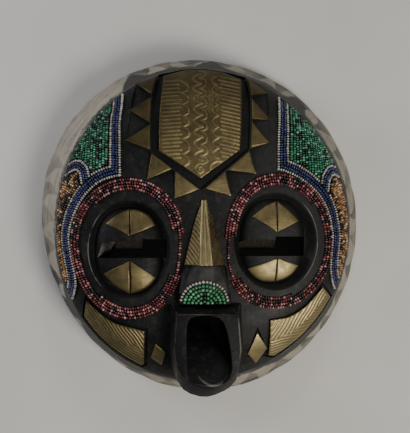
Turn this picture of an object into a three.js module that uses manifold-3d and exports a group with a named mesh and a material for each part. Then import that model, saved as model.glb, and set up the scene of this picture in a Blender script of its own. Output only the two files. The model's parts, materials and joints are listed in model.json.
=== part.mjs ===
// A round carved wooden mask: a hollow domed face with a painted side wall, two sunken eyes,
// a wedge nose and a box mouth, dressed with thin brass plates and panels of glass beads.
// Millimetres, +Z out of the face, +Y towards the forehead, +X to the right of the picture.
import * as THREE from 'three';
import { ConvexGeometry } from 'three/addons/geometries/ConvexGeometry.js';
import { mergeVertices } from 'three/addons/utils/BufferGeometryUtils.js';
import Module from 'manifold-3d';

// Driving sizes of the carved shell. The waves are cosine and sine shares of one, two and
// three lobes: they make the hand-carved outlines slightly out of round.
const RIM_RADIUS = 153.5;
const RIM_WAVES = [0.25, -1.3, -3.5, -2.3, 0, 1.5];
const FACE_RADIUS = 138.6;
const FACE_WAVES = [-1.35, -3.05, -3.9, 0.1, 1.25, -0.73];
const WALL_HEIGHT = 50;
const WALL_BULGE_POWER = 1.35;
const BACK_EDGE_ROUND = 1.2;
const FACE_CROWN = 7;
const FACE_SHOULDER = 28;
const SHOULDER_POWER = 8.5;
const WALL_THICKNESS = 12;
const FACE_THICKNESS = 20;
const THICKENING = 2.2;
const WALL_STEPS = [0, 0.05, 0.36, 0.7];
const FACE_STEPS = [1, 0.945, 0.88, 0.79, 0.62, 0.34];
const OUTER_SEGMENTS = 45;
const HOLLOW_SEGMENTS = 24;
const GROOVE_SEGMENTS = 24;
const EYE_SEGMENTS = 20;

// Levels between which an upright cut through the face runs.
const CUT_LOW_Z = 38;
const HIGH = 150;

// Gaps and thicknesses of what is fixed on the wood.
const GAP = 0.35;
const PLATE_INSET = 0.4;
const BRASS = 1.1;
const BEAD = 2.9;
const VALLEY = 1.5;
const SHEET_CLEAR = 0.45;
const ROOM_CLEAR = 0.35;

// Eyes: a sunken oval valley round a bulge, and a bead ring outside it.
const SOCKET_HALF = [37.4, 44];
const SOCKET_DEPTH = 9;
const SOCKET_FLOOR = 0.9;
const SOCKET_LIP = 1.04;
const BULGE_HALF = [31.6, 38.6];
const BULGE_RISE = 1.5;
const BULGE_ROUND = 2.4;
const BULGE_STEPS = [0.45, 0.72, 0.9, 1];
const BULGE_ROOT_Z = 56;
const RING_HALF = [50.4, 61.9];
const RING_WIDTH = 10;
const RING_NARROW = 3.4;
const RING_STATIONS = 22;
const RING_NARROW_ARC = [12, 34];
const PLATE_ARC = { from: 84, highTo: 38, lowTo: 31, share: 0.93 };
const LID = { high: 4.2, low: 3.6, middle: 1.2 };
const SLIT_SLANT = 8.5;
const SLIT_TOP_Z = 92;
const SLIT_LOW_Z = 58;
const SIDES = {
  left: {
    sign: -1,
    ring: [-70.7, -23.3],
    eye: [-66.6, -25.8],
    split: -68.3,
    slit: { x: [-98.2, -35], y: [-14.7, -32], endSlope: 18 },
    strip: [[-77.8, 118], [-78.2, 111], [-79, 103.5], [-80.3, 95.5], [-81.5, 85], [-81.4, 66]],
    branch: [[-106.5, 33], [-109.8, 46.5], [-114.3, 50.8], [-118.4, 51], [-123.2, 48], [-127, 45]],
    tail: [[-119.6, -51], [-120.8, -59], [-123.6, -67], [-125.4, -72]],
  },
  right: {
    sign: 1,
    ring: [66.5, -17.5],
    eye: [61, -15.8],
    split: 63.7,
    slit: { x: [29.9, 92], y: [-11.4, -30.4], endSlope: 3 },
    strip: [[72, 119], [71.7, 112], [71.3, 104.5], [70.7, 96.5], [70, 86], [69.2, 69]],
    branch: [[107.5, 30], [108.8, 39.5], [112.6, 46], [117, 47.6], [122.8, 45], [127, 41.5]],
    tail: [[118.6, -44.5], [120.8, -53], [124, -60], [126, -65]],
  },
};
const BAND_HALF = [54.7, 69.4];
const BAND_WIDTH = 11.6;
const BRANCH_WIDTH = 10.4;
const BAND_END = 0.985;

// Forehead: a shield plate in a groove, and a row of triangles along the groove.
const SHIELD_TOP = [[-36.9, 132.6], [-18, 137.6], [0, 138.6], [17, 136], [33.7, 129.2]];
const SHIELD_SIDES = [[32.6, 98], [30.8, 63.8], [-4.8, 38.5], [-42.3, 62.8], [-41.4, 99]];
const SHIELD = [...SHIELD_TOP, ...SHIELD_SIDES];
const GROOVE_EDGE = {
  left: [[-41, 134.5], [-47.5, 112], [-48.6, 90], [-48.6, 62.5], [-4, 28.7]],
  right: [[38.5, 132.5], [40.4, 112], [40, 90], [38.6, 64.5], [-4, 28.7]],
};
const GROOVE_DEPTH = 2.6;
const TRIANGLE_OFFSET = 1.2;
const TRIANGLES = {
  left: [
    { from: 4, to: 21, apex: [15, 18] },
    { from: 24, to: 47, apex: [37, 20] },
    { from: 49, to: 71, apex: [63, 24] },
    { from: 74, to: 96.5, apex: [84.7, 22.3] },
    { from: 100.5, to: 126.5, apex: [114.4, 21.1] },
  ],
  right: [
    { from: 3, to: 19, apex: [18, 18] },
    { from: 21, to: 40, apex: [41, 18] },
    { from: 43, to: 66, apex: [61, 18] },
    { from: 69.5, to: 94.5, apex: [77.3, 20.7] },
    { from: 97.5, to: 120.5, apex: [107.3, 20.9] },
  ],
};

// Nose: a wedge with a flat ridge, and a wider tip below it.
const NOSE_X = -2.6;
const NOSE_TOP_Y = 20.5;
const NOSE_LOW_Y = -38.5;
const NOSE_HALF = 16.8;
const NOSE_RIDGE_HALF = 4.7;
const NOSE_RISE = 24;
const TIP_Y = [-40, -43, -53, -63, -73];
const TIP_X = -0.9;
const TIP_HALF = [20.5, 24];
const TIP_RISE = [24, 25, 22, 17.5, 11];
const LUNETTE_HALF = [21.6, 16.4];
const LUNETTE_LOW_Y = -71.6;
const LUNETTE_LOW_Z = 89;

// Mouth: a tapered box standing on the lower face, its rounded opening and the ramp inside it.
// Front and foot each have two square upper corners and an oval lower edge.
const MOUTH_FRONT = { corner: [27.2, -81], centre: [0, -113], half: [29.3, 31.8], topZ: 106, lowZ: 112 };
const MOUTH_FOOT = { corner: [31.5, -72], centre: [1, -114], half: [33.6, 39], topZ: 82, lowZ: 60 };
const MOUTH_ARC = [0, -50, -80, -110, -140, -180];
const MOUTH_ROOT_Z = 44;
const CHIN_TIP = [-2, -154.8, 96];
const MOUTH_OPENING = { centre: [-0.6, -112.5], half: [21.3, 29], squareness: 3, points: 14 };
const RAMP_LOW_END = [[-24, -91, 62], [3, -91, 62]];
const RAMP_MIDDLE = [[22.5, -130, 98], [-24, -128, 98]];
const RAMP_HIGH_END = [[24, -143, 109], [-24, -143, 109]];

// Cheeks: plates between the eye ring and the edge of the face, and a small diamond beside the mouth.
const CHEEK_EDGE = 0.967;
const CHEEK_RING = [1.11, 1.03];
const CHEEKS = {
  left: { edgeFrom: 218, edgeTo: 246.5, ringFrom: 264, ringTo: 227, inner: [-54.5, -97] },
  right: { edgeFrom: 329.5, edgeTo: 297.5, ringFrom: 276, ringTo: 320, inner: [58, -88] },
};
const CHEEK_GROOVE = 2.6;
const CHEEK_GROOVE_DEPTH = 1.6;
const DIAMONDS = {
  left: [[-44.9, -108.2], [-35.6, -116.3], [-38.8, -128.4], [-48.6, -121.2]],
  right: [[46.4, -99.8], [56, -113.5], [46.7, -127.4], [38.4, -118.3]],
};

// Bead fields: green beside the strip, amber between the band and the rim.
const FIELDS = {
  left: { green: { from: 127.5, to: 157, share: 0.985 }, amber: { from: 202.5, to: 160.5, share: 0.985 } },
  right: { green: { from: 57, to: 25.5, share: 0.985 }, amber: { from: -20.5, to: 18.5, share: 0.985 } },
};

const FINISHES = {
  wood: { color: 0x23211f, roughness: 0.5, metalness: 0 },
  brass: { color: 0x9a8450, roughness: 0.4, metalness: 1 },
  green: { color: 0x2f9a6c, roughness: 0.25, metalness: 0 },
  blue: { color: 0x27336f, roughness: 0.25, metalness: 0 },
  amber: { color: 0xc98a4a, roughness: 0.25, metalness: 0 },
  red: { color: 0x8a3f3f, roughness: 0.25, metalness: 0 },
};

const wasm = await Module();
wasm.setup();

// A closed geometry as a solid that can be joined and cut.
function solidOf(geometry) {
  const bare = geometry.clone();
  bare.deleteAttribute('normal');
  bare.deleteAttribute('uv');
  const merged = mergeVertices(bare, 1e-4);
  return new wasm.Manifold(new wasm.Mesh({
    numProp: 3,
    vertProperties: new Float32Array(merged.attributes.position.array),
    triVerts: new Uint32Array(merged.index.array),
  }));
}

function geometryOf(solid) {
  const mesh = solid.getMesh();
  const geometry = new THREE.BufferGeometry();
  geometry.setAttribute('position', new THREE.BufferAttribute(new Float32Array(mesh.vertProperties), 3));
  geometry.setIndex(new THREE.BufferAttribute(new Uint32Array(mesh.triVerts), 1));
  geometry.computeVertexNormals();
  return geometry;
}

// A closed skin over a row of loops with equal counts. An open row is capped at two poles;
// a closed row runs round to its first loop again.
function loft(loops, poles) {
  const count = loops[0].length;
  const points = loops.flat();
  const at = (row, k) => (row % loops.length) * count + (k % count);
  const faces = [];
  const rows = poles ? loops.length - 1 : loops.length;
  for (let row = 0; row < rows; row += 1) {
    for (let k = 0; k < count; k += 1) {
      faces.push([at(row, k), at(row, k + 1), at(row + 1, k + 1)]);
      faces.push([at(row, k), at(row + 1, k + 1), at(row + 1, k)]);
    }
  }
  if (poles) {
    const first = points.push(poles[0]) - 1;
    const last = points.push(poles[1]) - 1;
    for (let k = 0; k < count; k += 1) {
      faces.push([first, at(0, k + 1), at(0, k)]);
      faces.push([last, at(loops.length - 1, k), at(loops.length - 1, k + 1)]);
    }
  }
  const volume = faces.reduce((sum, [a, b, c]) => {
    return sum + points[a].dot(points[b].clone().cross(points[c]));
  }, 0);
  const geometry = new THREE.BufferGeometry();
  const numbers = points.flatMap((p) => p.toArray());
  geometry.setAttribute('position', new THREE.Float32BufferAttribute(numbers, 3));
  geometry.setIndex(faces.flatMap((face) => (volume < 0 ? [...face].reverse() : face)));
  return solidOf(geometry);
}

function middleOf(loop) {
  return loop.reduce((sum, p) => sum.add(p), new THREE.Vector3()).divideScalar(loop.length);
}

function cappedLoft(loops) {
  return loft(loops, [middleOf(loops[0]), middleOf(loops[loops.length - 1])]);
}

function hull(points) {
  return solidOf(new ConvexGeometry(points.map((p) => new THREE.Vector3(...p))));
}

function prism(outline, low, high) {
  const shape = new THREE.Shape(outline.map((p) => new THREE.Vector2(...p)));
  const geometry = new THREE.ExtrudeGeometry(shape, { depth: high - low, bevelEnabled: false });
  return solidOf(geometry.translate(0, 0, low));
}

const radians = THREE.MathUtils.degToRad;
const lerp = THREE.MathUtils.lerp;

function wavyRadius(mean, waves, angle) {
  return waves.reduce((sum, share, i) => {
    const turns = Math.floor(i / 2) + 1;
    return sum + share * (i % 2 ? Math.sin(turns * angle) : Math.cos(turns * angle));
  }, mean);
}

// Height of the carved face over a point of the plan.
function faceHeight(x, y) {
  const reach = Math.hypot(x, y) / wavyRadius(FACE_RADIUS, FACE_WAVES, Math.atan2(y, x));
  return WALL_HEIGHT + FACE_CROWN * (1 - reach ** 2) + FACE_SHOULDER * (1 - reach ** SHOULDER_POWER);
}

function faceNormal(x, y) {
  const step = 0.5;
  return new THREE.Vector3(
    faceHeight(x - step, y) - faceHeight(x + step, y),
    faceHeight(x, y - step) - faceHeight(x, y + step),
    2 * step,
  ).normalize();
}

function onFace(x, y, lift) {
  return new THREE.Vector3(x, y, faceHeight(x, y)).addScaledVector(faceNormal(x, y), lift);
}

// One point of the shell's outer skin on the side wall, moved out along the wall's normal.
function onWall(angle, share, lift) {
  const rim = wavyRadius(RIM_RADIUS, RIM_WAVES, angle) - (share === 0 ? BACK_EDGE_ROUND : 0);
  const edge = wavyRadius(FACE_RADIUS, FACE_WAVES, angle);
  const radius = lerp(rim, edge, share ** WALL_BULGE_POWER) + lift;
  return new THREE.Vector3(radius * Math.cos(angle), radius * Math.sin(angle), WALL_HEIGHT * share);
}

// The domed block from its back plane up, grown or shrunk by lift(share), where share is 0 on
// the wall and runs to 1 at the middle of the face.
function dome(segments, lift, backZ) {
  const angles = Array.from({ length: segments }, (_, k) => (2 * Math.PI * k) / segments);
  const wallLoops = WALL_STEPS.map((share) => angles.map((a) => {
    const p = onWall(a, share, lift(0));
    return share === 0 ? p.setZ(backZ) : p;
  }));
  const faceLoops = FACE_STEPS.map((reach) => angles.map((a) => {
    const radius = reach * wavyRadius(FACE_RADIUS, FACE_WAVES, a);
    return onFace(radius * Math.cos(a), radius * Math.sin(a), lift(1 - reach));
  }));
  return loft([...wallLoops, ...faceLoops], [new THREE.Vector3(0, 0, backZ), onFace(0, 0, lift(1))]);
}

const solidDome = (lift) => dome(OUTER_SEGMENTS, () => lift, 0);
const innerLift = (share) => -lerp(WALL_THICKNESS, FACE_THICKNESS, Math.min(1, THICKENING * share));
const hollow = dome(HOLLOW_SEGMENTS, innerLift, -1);

// A layer of even thickness that lies on the face.
const layers = new Map();
function faceLayer(thickness) {
  if (!layers.has(thickness)) {
    layers.set(thickness, solidDome(GAP + thickness).subtract(solidDome(GAP)));
  }
  return layers.get(thickness);
}

const facePiece = (outline, thickness) => prism(outline, CUT_LOW_Z, HIGH).intersect(faceLayer(thickness));

// An oval patch on the face whose height over it depends on the share of its half-axes.
function ovalPatch(centre, half, rings, height, endZ, lift = 0) {
  const loopAt = (share, z) => Array.from({ length: EYE_SEGMENTS }, (_, k) => {
    const a = (2 * Math.PI * k) / EYE_SEGMENTS;
    const x = centre[0] + share * half[0] * Math.cos(a);
    const y = centre[1] + share * half[1] * Math.sin(a);
    return new THREE.Vector3(x, y, z ?? faceHeight(x, y) + height(share) + lift);
  });
  const loops = rings.map((share) => loopAt(share));
  loops.push(loopAt(rings[rings.length - 1], endZ));
  const middle = new THREE.Vector3(...centre, faceHeight(...centre) + height(0) + lift);
  return loft(loops, [middle, new THREE.Vector3(...centre, endZ)]);
}

function socketCut(side) {
  const depth = (share) => lerp(-SOCKET_DEPTH, 0, Math.max(0, share - SOCKET_FLOOR) / (1 - SOCKET_FLOOR));
  return ovalPatch(side.eye, SOCKET_HALF, [SOCKET_FLOOR, 1, SOCKET_LIP], depth, HIGH);
}

function bulgeHeight(share) {
  const round = Math.sqrt(Math.max(0, 1 - share ** BULGE_ROUND));
  return (SOCKET_DEPTH + BULGE_RISE) * round - SOCKET_DEPTH;
}

function bulge(side, lift = 0) {
  const grown = BULGE_HALF.map((h) => h + lift);
  return ovalPatch(side.eye, grown, BULGE_STEPS, bulgeHeight, BULGE_ROOT_Z, lift);
}

// A slit through the bulge: its upper wall and its left end slant inwards.
function slitCut({ x, y, endSlope }) {
  const low = y[0] - SLIT_SLANT;
  const rim = [[x[0], y[0]], [x[1], y[0]], [x[1], y[1]], [x[0], y[1]]];
  const root = [[x[0] + endSlope, low], [x[1], low], [x[1], y[1]], [x[0], y[1]]];
  return hull([...rim.map((p) => [...p, SLIT_TOP_Z]), ...root.map((p) => [...p, SLIT_LOW_Z])]);
}

// The nose wedge: flat ridge, straight flanks, grown by lift for the plate folded over it.
function noseWedge(lift) {
  const loops = [0, 0.12, 0.45, 1].map((share) => {
    const y = lerp(NOSE_TOP_Y + lift, NOSE_LOW_Y, share);
    const foot = faceHeight(NOSE_X, y) - 3;
    const ridge = faceHeight(NOSE_X, y) + lerp(-0.6, NOSE_RISE, share) + lift;
    const half = lerp(1.4, NOSE_HALF, share ** 0.7) + lift * 1.1 + 1;
    const ridgeHalf = lerp(0.8, NOSE_RIDGE_HALF, share) + lift * 0.5;
    return [[-half, foot], [-ridgeHalf, ridge], [ridgeHalf, ridge], [half, foot], [0, 62]]
      .map(([x, z]) => new THREE.Vector3(NOSE_X + x, y, z));
  });
  return cappedLoft(loops);
}

function nosePlate() {
  const [low, high] = [NOSE_LOW_Y + 0.5, NOSE_TOP_Y - 1];
  const [left, right] = [NOSE_X - NOSE_HALF - 5, NOSE_X + NOSE_HALF + 5];
  const room = prism([[left, low], [right, low], [right, high], [left, high]], WALL_HEIGHT, HIGH);
  return noseWedge(GAP + BRASS).subtract(noseWedge(GAP)).subtract(solidDome(GAP)).intersect(room);
}

function noseTip(lift) {
  const loops = TIP_Y.map((y, i) => {
    const share = i / (TIP_Y.length - 1);
    const end = i === TIP_Y.length - 1 ? -lift : 0;
    const face = faceHeight(NOSE_X, y);
    const half = lerp(...TIP_HALF, share) + lift;
    const rise = TIP_RISE[i] + lift;
    const shoulder = half * lerp(0.55, 0.95, share);
    const shoulderRise = rise * lerp(0.62, 0.9, share);
    return [[-half, -3], [-shoulder, shoulderRise], [-0.3 * half, 0.98 * rise], [0.3 * half, 0.98 * rise],
      [shoulder, shoulderRise], [half, -3], [0, -24]]
      .map(([x, z]) => new THREE.Vector3(TIP_X + x, y + end, face + z));
  });
  return cappedLoft(loops);
}

function mouthLoop({ corner, centre, half, topZ, lowZ }) {
  const arc = MOUTH_ARC.map((a) => ovalPoint(centre, half, a, 1));
  const lowest = centre[1] - half[1];
  return [[-corner[0], corner[1]], corner, ...arc].map(([x, y]) => {
    return [x, y, lerp(topZ, lowZ, (corner[1] - y) / (corner[1] - lowest))];
  });
}

function mouthBox() {
  const foot = mouthLoop(MOUTH_FOOT);
  const root = foot.map(([x, y]) => [x, y, MOUTH_ROOT_Z]);
  return hull([...mouthLoop(MOUTH_FRONT), ...foot, ...root, CHIN_TIP]);
}

// The opening's outline lies between an oval and a rectangle.
function mouthOpening() {
  const { centre, half, squareness, points } = MOUTH_OPENING;
  const bend = (v) => Math.sign(v) * Math.abs(v) ** (2 / squareness);
  return Array.from({ length: points }, (_, k) => {
    const a = (2 * Math.PI * (k + 0.5)) / points;
    return [centre[0] + half[0] * bend(Math.cos(a)), centre[1] + half[1] * bend(Math.sin(a))];
  });
}

function ramp() {
  const top = [...RAMP_LOW_END, ...RAMP_MIDDLE, ...RAMP_HIGH_END];
  return hull([...top, ...top.map(([x, y]) => [x, y, MOUTH_ROOT_Z])]);
}

// An outline pushed outwards by a distance, corner by corner.
function outset(outline, distance) {
  const turn = outline.reduce((sum, [x, y], i) => {
    const [u, v] = outline[(i + 1) % outline.length];
    return sum + x * v - u * y;
  }, 0);
  const side = Math.sign(turn) * distance;
  return outline.map((p, i) => {
    const before = outline[(i + outline.length - 1) % outline.length];
    const after = outline[(i + 1) % outline.length];
    const a = new THREE.Vector2(p[0] - before[0], p[1] - before[1]).normalize();
    const b = new THREE.Vector2(after[0] - p[0], after[1] - p[1]).normalize();
    const miter = new THREE.Vector2(a.y + b.y, -a.x - b.x).normalize();
    const stretch = side / Math.max(0.5, miter.x * a.y - miter.y * a.x);
    return [p[0] + miter.x * stretch, p[1] + miter.y * stretch];
  });
}

function ovalPoint(centre, half, degrees, share) {
  const a = radians(degrees);
  return [centre[0] + share * half[0] * Math.cos(a), centre[1] + share * half[1] * Math.sin(a)];
}

function edgePoint(degrees, share) {
  const a = radians(degrees);
  const radius = share * wavyRadius(FACE_RADIUS, FACE_WAVES, a);
  return [radius * Math.cos(a), radius * Math.sin(a)];
}

function steps(from, to, count, make) {
  return Array.from({ length: count + 1 }, (_, i) => make(lerp(from, to, i / count)));
}

function cheekOutline(name) {
  const { edgeFrom, edgeTo, ringFrom, ringTo, inner } = CHEEKS[name];
  const low = steps(edgeFrom, edgeTo, 4, (a) => edgePoint(a, CHEEK_EDGE));
  const high = steps(0, 1, 5, (share) => {
    const away = lerp(...CHEEK_RING, Math.min(1, 1.4 * share));
    return ovalPoint(SIDES[name].ring, RING_HALF, lerp(ringFrom, ringTo, share), away);
  });
  return [...low, [inner[0], low[low.length - 1][1] + 1], inner, ...high];
}

// A groove between two outlines, cut to an even depth below the face.
function grooveCut(outer, inner, depth) {
  const ring = prism(outer, CUT_LOW_Z, HIGH).subtract(prism(inner, CUT_LOW_Z - 1, HIGH + 1));
  return ring.subtract(dome(GROOVE_SEGMENTS, () => -depth, 0));
}

function shieldGrooveOutline() {
  const left = GROOVE_EDGE.left;
  const right = GROOVE_EDGE.right.slice(0, -1).reverse();
  return [...left, ...right, [18, 137.4], [0, 140.2], [-20, 139.2]];
}

// A triangle whose base runs along the groove's edge and whose apex points away from it.
function triangleOutline(name, { from, to, apex }) {
  const corners = GROOVE_EDGE[name].map((p) => new THREE.Vector2(...p));
  const sign = SIDES[name].sign;
  const at = (distance, out) => {
    let left = distance;
    let i = 0;
    while (i < corners.length - 2 && left > corners[i].distanceTo(corners[i + 1])) {
      left -= corners[i].distanceTo(corners[i + 1]);
      i += 1;
    }
    const along = corners[i + 1].clone().sub(corners[i]).normalize();
    const outward = new THREE.Vector2(sign * -along.y, sign * along.x);
    const p = corners[i].clone().addScaledVector(along, left).addScaledVector(outward, out);
    return [p.x, p.y];
  };
  return [at(from, TRIANGLE_OFFSET), at(to, TRIANGLE_OFFSET), at(apex[0], apex[1])];
}

// A solid that follows a line on the face: at each point its section is a list of
// [distance across the line, lift off the face].
function sweep(line, sectionAt, closed) {
  const loops = line.map(([x, y], i) => {
    const before = line[closed ? (i + line.length - 1) % line.length : Math.max(0, i - 1)];
    const after = line[closed ? (i + 1) % line.length : Math.min(line.length - 1, i + 1)];
    const along = onFace(...after, 0).sub(onFace(...before, 0)).normalize();
    const across = along.cross(faceNormal(x, y)).normalize();
    return sectionAt(i).map(([distance, lift]) => {
      const p = onFace(x, y, 0).addScaledVector(across, distance);
      return onFace(p.x, p.y, lift);
    });
  });
  return closed ? loft(loops, null) : cappedLoft(loops);
}

// Bead strands side by side: each strand is a crest between two valleys.
function beadSection(width, strands) {
  const low = [0.5, 0, -0.5].map((share) => [share * width, GAP + SHEET_CLEAR]);
  const top = Array.from({ length: 2 * strands + 1 }, (_, j) => {
    return [(j / (2 * strands) - 0.5) * width, GAP + (j % 2 ? BEAD : VALLEY)];
  });
  return [...low, ...top];
}

function eyeRing(side) {
  const count = RING_STATIONS;
  const inward = side.sign < 0 ? 0 : 180;
  const turns = Array.from({ length: count }, (_, k) => (360 * k) / count);
  const widths = turns.map((a) => {
    const off = Math.abs(((a - inward + 540) % 360) - 180);
    return lerp(RING_NARROW, RING_WIDTH, THREE.MathUtils.smoothstep(off, ...RING_NARROW_ARC));
  });
  const line = turns.map((a, k) => {
    const half = RING_HALF.map((h) => h - widths[k] / 2);
    return ovalPoint(side.ring, half, a, 1);
  });
  return sweep(line, (i) => beadSection(widths[i], 3), true);
}

function bandLine(side) {
  const [from, to] = side.sign < 0 ? [101, 195] : [85, -17];
  const arc = steps(from, to, 8, (a) => ovalPoint(side.ring, BAND_HALF, a, 1));
  return [...side.strip, ...arc, ...side.tail];
}

function bandSheet(side) {
  const main = sweep(bandLine(side), () => beadSection(BAND_WIDTH, 4), false);
  const branch = sweep(side.branch, () => beadSection(BRANCH_WIDTH, 4), false);
  const edge = steps(0, 350, 35, (a) => edgePoint(a, BAND_END));
  return main.add(branch).intersect(prism(edge, CUT_LOW_Z, HIGH));
}

// The room that a band takes, with a clearance, for cutting the fields beside it.
function bandRoom(line, width) {
  const half = width / 2 + ROOM_CLEAR;
  const section = [[half, -3], [0, -3], [-half, -3], [-half, 6], [0, 6], [half, 6]];
  return sweep(line, () => section, false);
}

// The four quarters of brass on an eye's bulge, parted by a narrow upright line of wood.
function eyePlateOutline(side, high, outer) {
  const [x, y] = side.eye;
  const upward = high ? 1 : -1;
  const low = high ? side.slit.y[0] + LID.high : side.slit.y[1] - LID.low;
  const inside = side.split + outer * LID.middle;
  const { from, highTo, lowTo, share } = PLATE_ARC;
  const arc = steps(from, high ? highTo : lowTo, 3, (a) => ovalPoint([0, 0], BULGE_HALF, a, share))
    .map(([u, v]) => [x + outer * u, y + upward * v])
    .filter(([u]) => outer * (u - inside) > 2);
  return [[inside, low], [inside, arc[0][1] + upward * 0.4], ...arc];
}

function eyePlate(side, high, outer) {
  const layer = bulge(side, GAP + BRASS).subtract(bulge(side, GAP));
  const room = prism(eyePlateOutline(side, high, outer), BULGE_ROOT_Z, HIGH);
  return layer.intersect(room).subtract(solidDome(2 - SOCKET_DEPTH));
}

// The half-moon of beads on the nose tip.
function lunette() {
  const arc = steps(0, 180, 8, (a) => ovalPoint([TIP_X, LUNETTE_LOW_Y + 3.4], LUNETTE_HALF, a, 1));
  const half = LUNETTE_HALF[0] - 1.5;
  const outline = [...arc, [TIP_X - half, LUNETTE_LOW_Y], [TIP_X + half, LUNETTE_LOW_Y]];
  return noseTip(GAP + BEAD).subtract(noseTip(GAP)).intersect(prism(outline, LUNETTE_LOW_Z, HIGH));
}

// Bead fields fill the space between the edge of the face and the band.
function field(name, kind) {
  const side = SIDES[name];
  const { from, to, share } = FIELDS[name][kind];
  const rim = steps(from, to, 7, (a) => edgePoint(a, share));
  const line = bandLine(side);
  const [joinX, joinY] = side.branch[0];
  const corner = line.findIndex(([x, y]) => Math.hypot(x - joinX, y - joinY) < 8);
  const branch = [...side.branch].reverse();
  const beside = kind === 'green' ? line.slice(1, corner).reverse() : line.slice(corner, -2);
  const cut = bandRoom(line, BAND_WIDTH).add(bandRoom(side.branch, BRANCH_WIDTH));
  return facePiece([...rim, ...branch, ...beside], BEAD).subtract(cut);
}

function shell() {
  const { left, right } = SIDES;
  const cheekL = cheekOutline('left');
  const cheekR = cheekOutline('right');
  return solidDome(0)
    .subtract(socketCut(left)).subtract(socketCut(right))
    .add(bulge(left)).add(bulge(right))
    .add(noseWedge(0)).add(noseTip(0)).add(mouthBox())
    .subtract(grooveCut(shieldGrooveOutline(), SHIELD, GROOVE_DEPTH))
    .subtract(grooveCut(outset(cheekL, CHEEK_GROOVE), cheekL, CHEEK_GROOVE_DEPTH))
    .subtract(grooveCut(outset(cheekR, CHEEK_GROOVE), cheekR, CHEEK_GROOVE_DEPTH))
    .subtract(prism(mouthOpening(), MOUTH_ROOT_Z, HIGH))
    .add(ramp().intersect(prism(outset(mouthOpening(), 1), MOUTH_ROOT_Z, HIGH)))
    .subtract(hollow)
    .subtract(slitCut(left.slit)).subtract(slitCut(right.slit));
}

const body = shell();
const pieces = [['mask_body', body, 'wood']];
pieces.push(['forehead_plate', facePiece(outset(SHIELD, -PLATE_INSET), BRASS), 'brass']);
for (const name of ['left', 'right']) {
  TRIANGLES[name].forEach((triangle, i) => {
    const solid = facePiece(triangleOutline(name, triangle), BRASS);
    pieces.push([`forehead_triangle_${name}_${i + 1}`, solid, 'brass']);
  });
}
pieces.push(['nose_plate', nosePlate(), 'brass']);

for (const name of ['left', 'right']) {
  const side = SIDES[name];
  for (const high of [true, false]) {
    for (const outer of [-1, 1]) {
      const place = `${high ? 'upper' : 'lower'}_${outer === side.sign ? 'outer' : 'inner'}`;
      pieces.push([`eye_plate_${name}_${place}`, eyePlate(side, high, outer), 'brass']);
    }
  }
  const cheek = outset(cheekOutline(name), -PLATE_INSET);
  pieces.push([`cheek_plate_${name}`, facePiece(cheek, BRASS), 'brass']);
  pieces.push([`cheek_diamond_${name}`, facePiece(DIAMONDS[name], BRASS), 'brass']);
  pieces.push([`eye_ring_${name}`, eyeRing(side), 'red']);
  pieces.push([`band_${name}`, bandSheet(side), 'blue']);
  pieces.push([`green_field_${name}`, field(name, 'green'), 'green']);
  pieces.push([`amber_field_${name}`, field(name, 'amber'), 'amber']);
}
pieces.push(['nose_beads', lunette(), 'green']);

// The part's origin is the middle of its plan, on the plane of the back rim.
const extent = new THREE.Box3().setFromBufferAttribute(geometryOf(body).attributes.position);
const middle = extent.getCenter(new THREE.Vector3()).setZ(0);
const group = new THREE.Group();
for (const [name, solid, finish] of pieces) {
  const geometry = geometryOf(solid).translate(-middle.x, -middle.y, 0);
  const mesh = new THREE.Mesh(geometry, new THREE.MeshStandardMaterial(FINISHES[finish]));
  mesh.name = name;
  group.add(mesh);
}
export default group;
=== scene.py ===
# %% [markdown]
# # A round carved mask with brass and beads
# This lesson dresses a carved wooden mask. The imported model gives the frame: where the face is,
# how high the nose stands, where each brass plate and bead band lies. Here the wood gets its
# carving marks and paint, the brass its embossing, and the bead bands become separate beads.
# Everything is worked out in millimetres first, and turned to metres when a mesh is made.

# %% Load the frame
import json
import math

import bmesh
import bpy
import numpy as np
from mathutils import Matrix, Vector

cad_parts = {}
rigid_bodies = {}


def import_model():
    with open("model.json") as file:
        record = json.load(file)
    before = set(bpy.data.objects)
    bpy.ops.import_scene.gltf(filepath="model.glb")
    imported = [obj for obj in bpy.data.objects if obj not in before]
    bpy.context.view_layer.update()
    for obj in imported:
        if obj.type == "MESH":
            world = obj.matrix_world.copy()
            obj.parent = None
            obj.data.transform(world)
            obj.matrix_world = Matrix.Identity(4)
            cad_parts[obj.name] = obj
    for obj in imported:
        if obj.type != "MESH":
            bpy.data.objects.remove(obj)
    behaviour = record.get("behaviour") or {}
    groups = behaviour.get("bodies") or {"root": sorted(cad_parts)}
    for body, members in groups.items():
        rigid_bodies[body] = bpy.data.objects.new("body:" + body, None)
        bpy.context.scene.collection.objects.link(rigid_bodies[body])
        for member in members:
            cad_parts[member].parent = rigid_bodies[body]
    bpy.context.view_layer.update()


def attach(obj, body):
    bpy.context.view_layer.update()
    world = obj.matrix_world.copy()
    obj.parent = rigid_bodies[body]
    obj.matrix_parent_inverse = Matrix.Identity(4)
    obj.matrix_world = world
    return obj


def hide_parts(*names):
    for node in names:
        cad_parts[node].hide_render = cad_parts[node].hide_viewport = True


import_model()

# %% [markdown]
# ## The face as a surface
# The carver's face is one smooth dome over a slightly uneven round outline. If every later piece
# asks the same two functions for the height and the slope of the dome, plates and beads lie on
# the wood without any fitting by eye. The outline's unevenness is a mean radius with a few
# waves added, which is enough for a hand-drawn circle.

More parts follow.
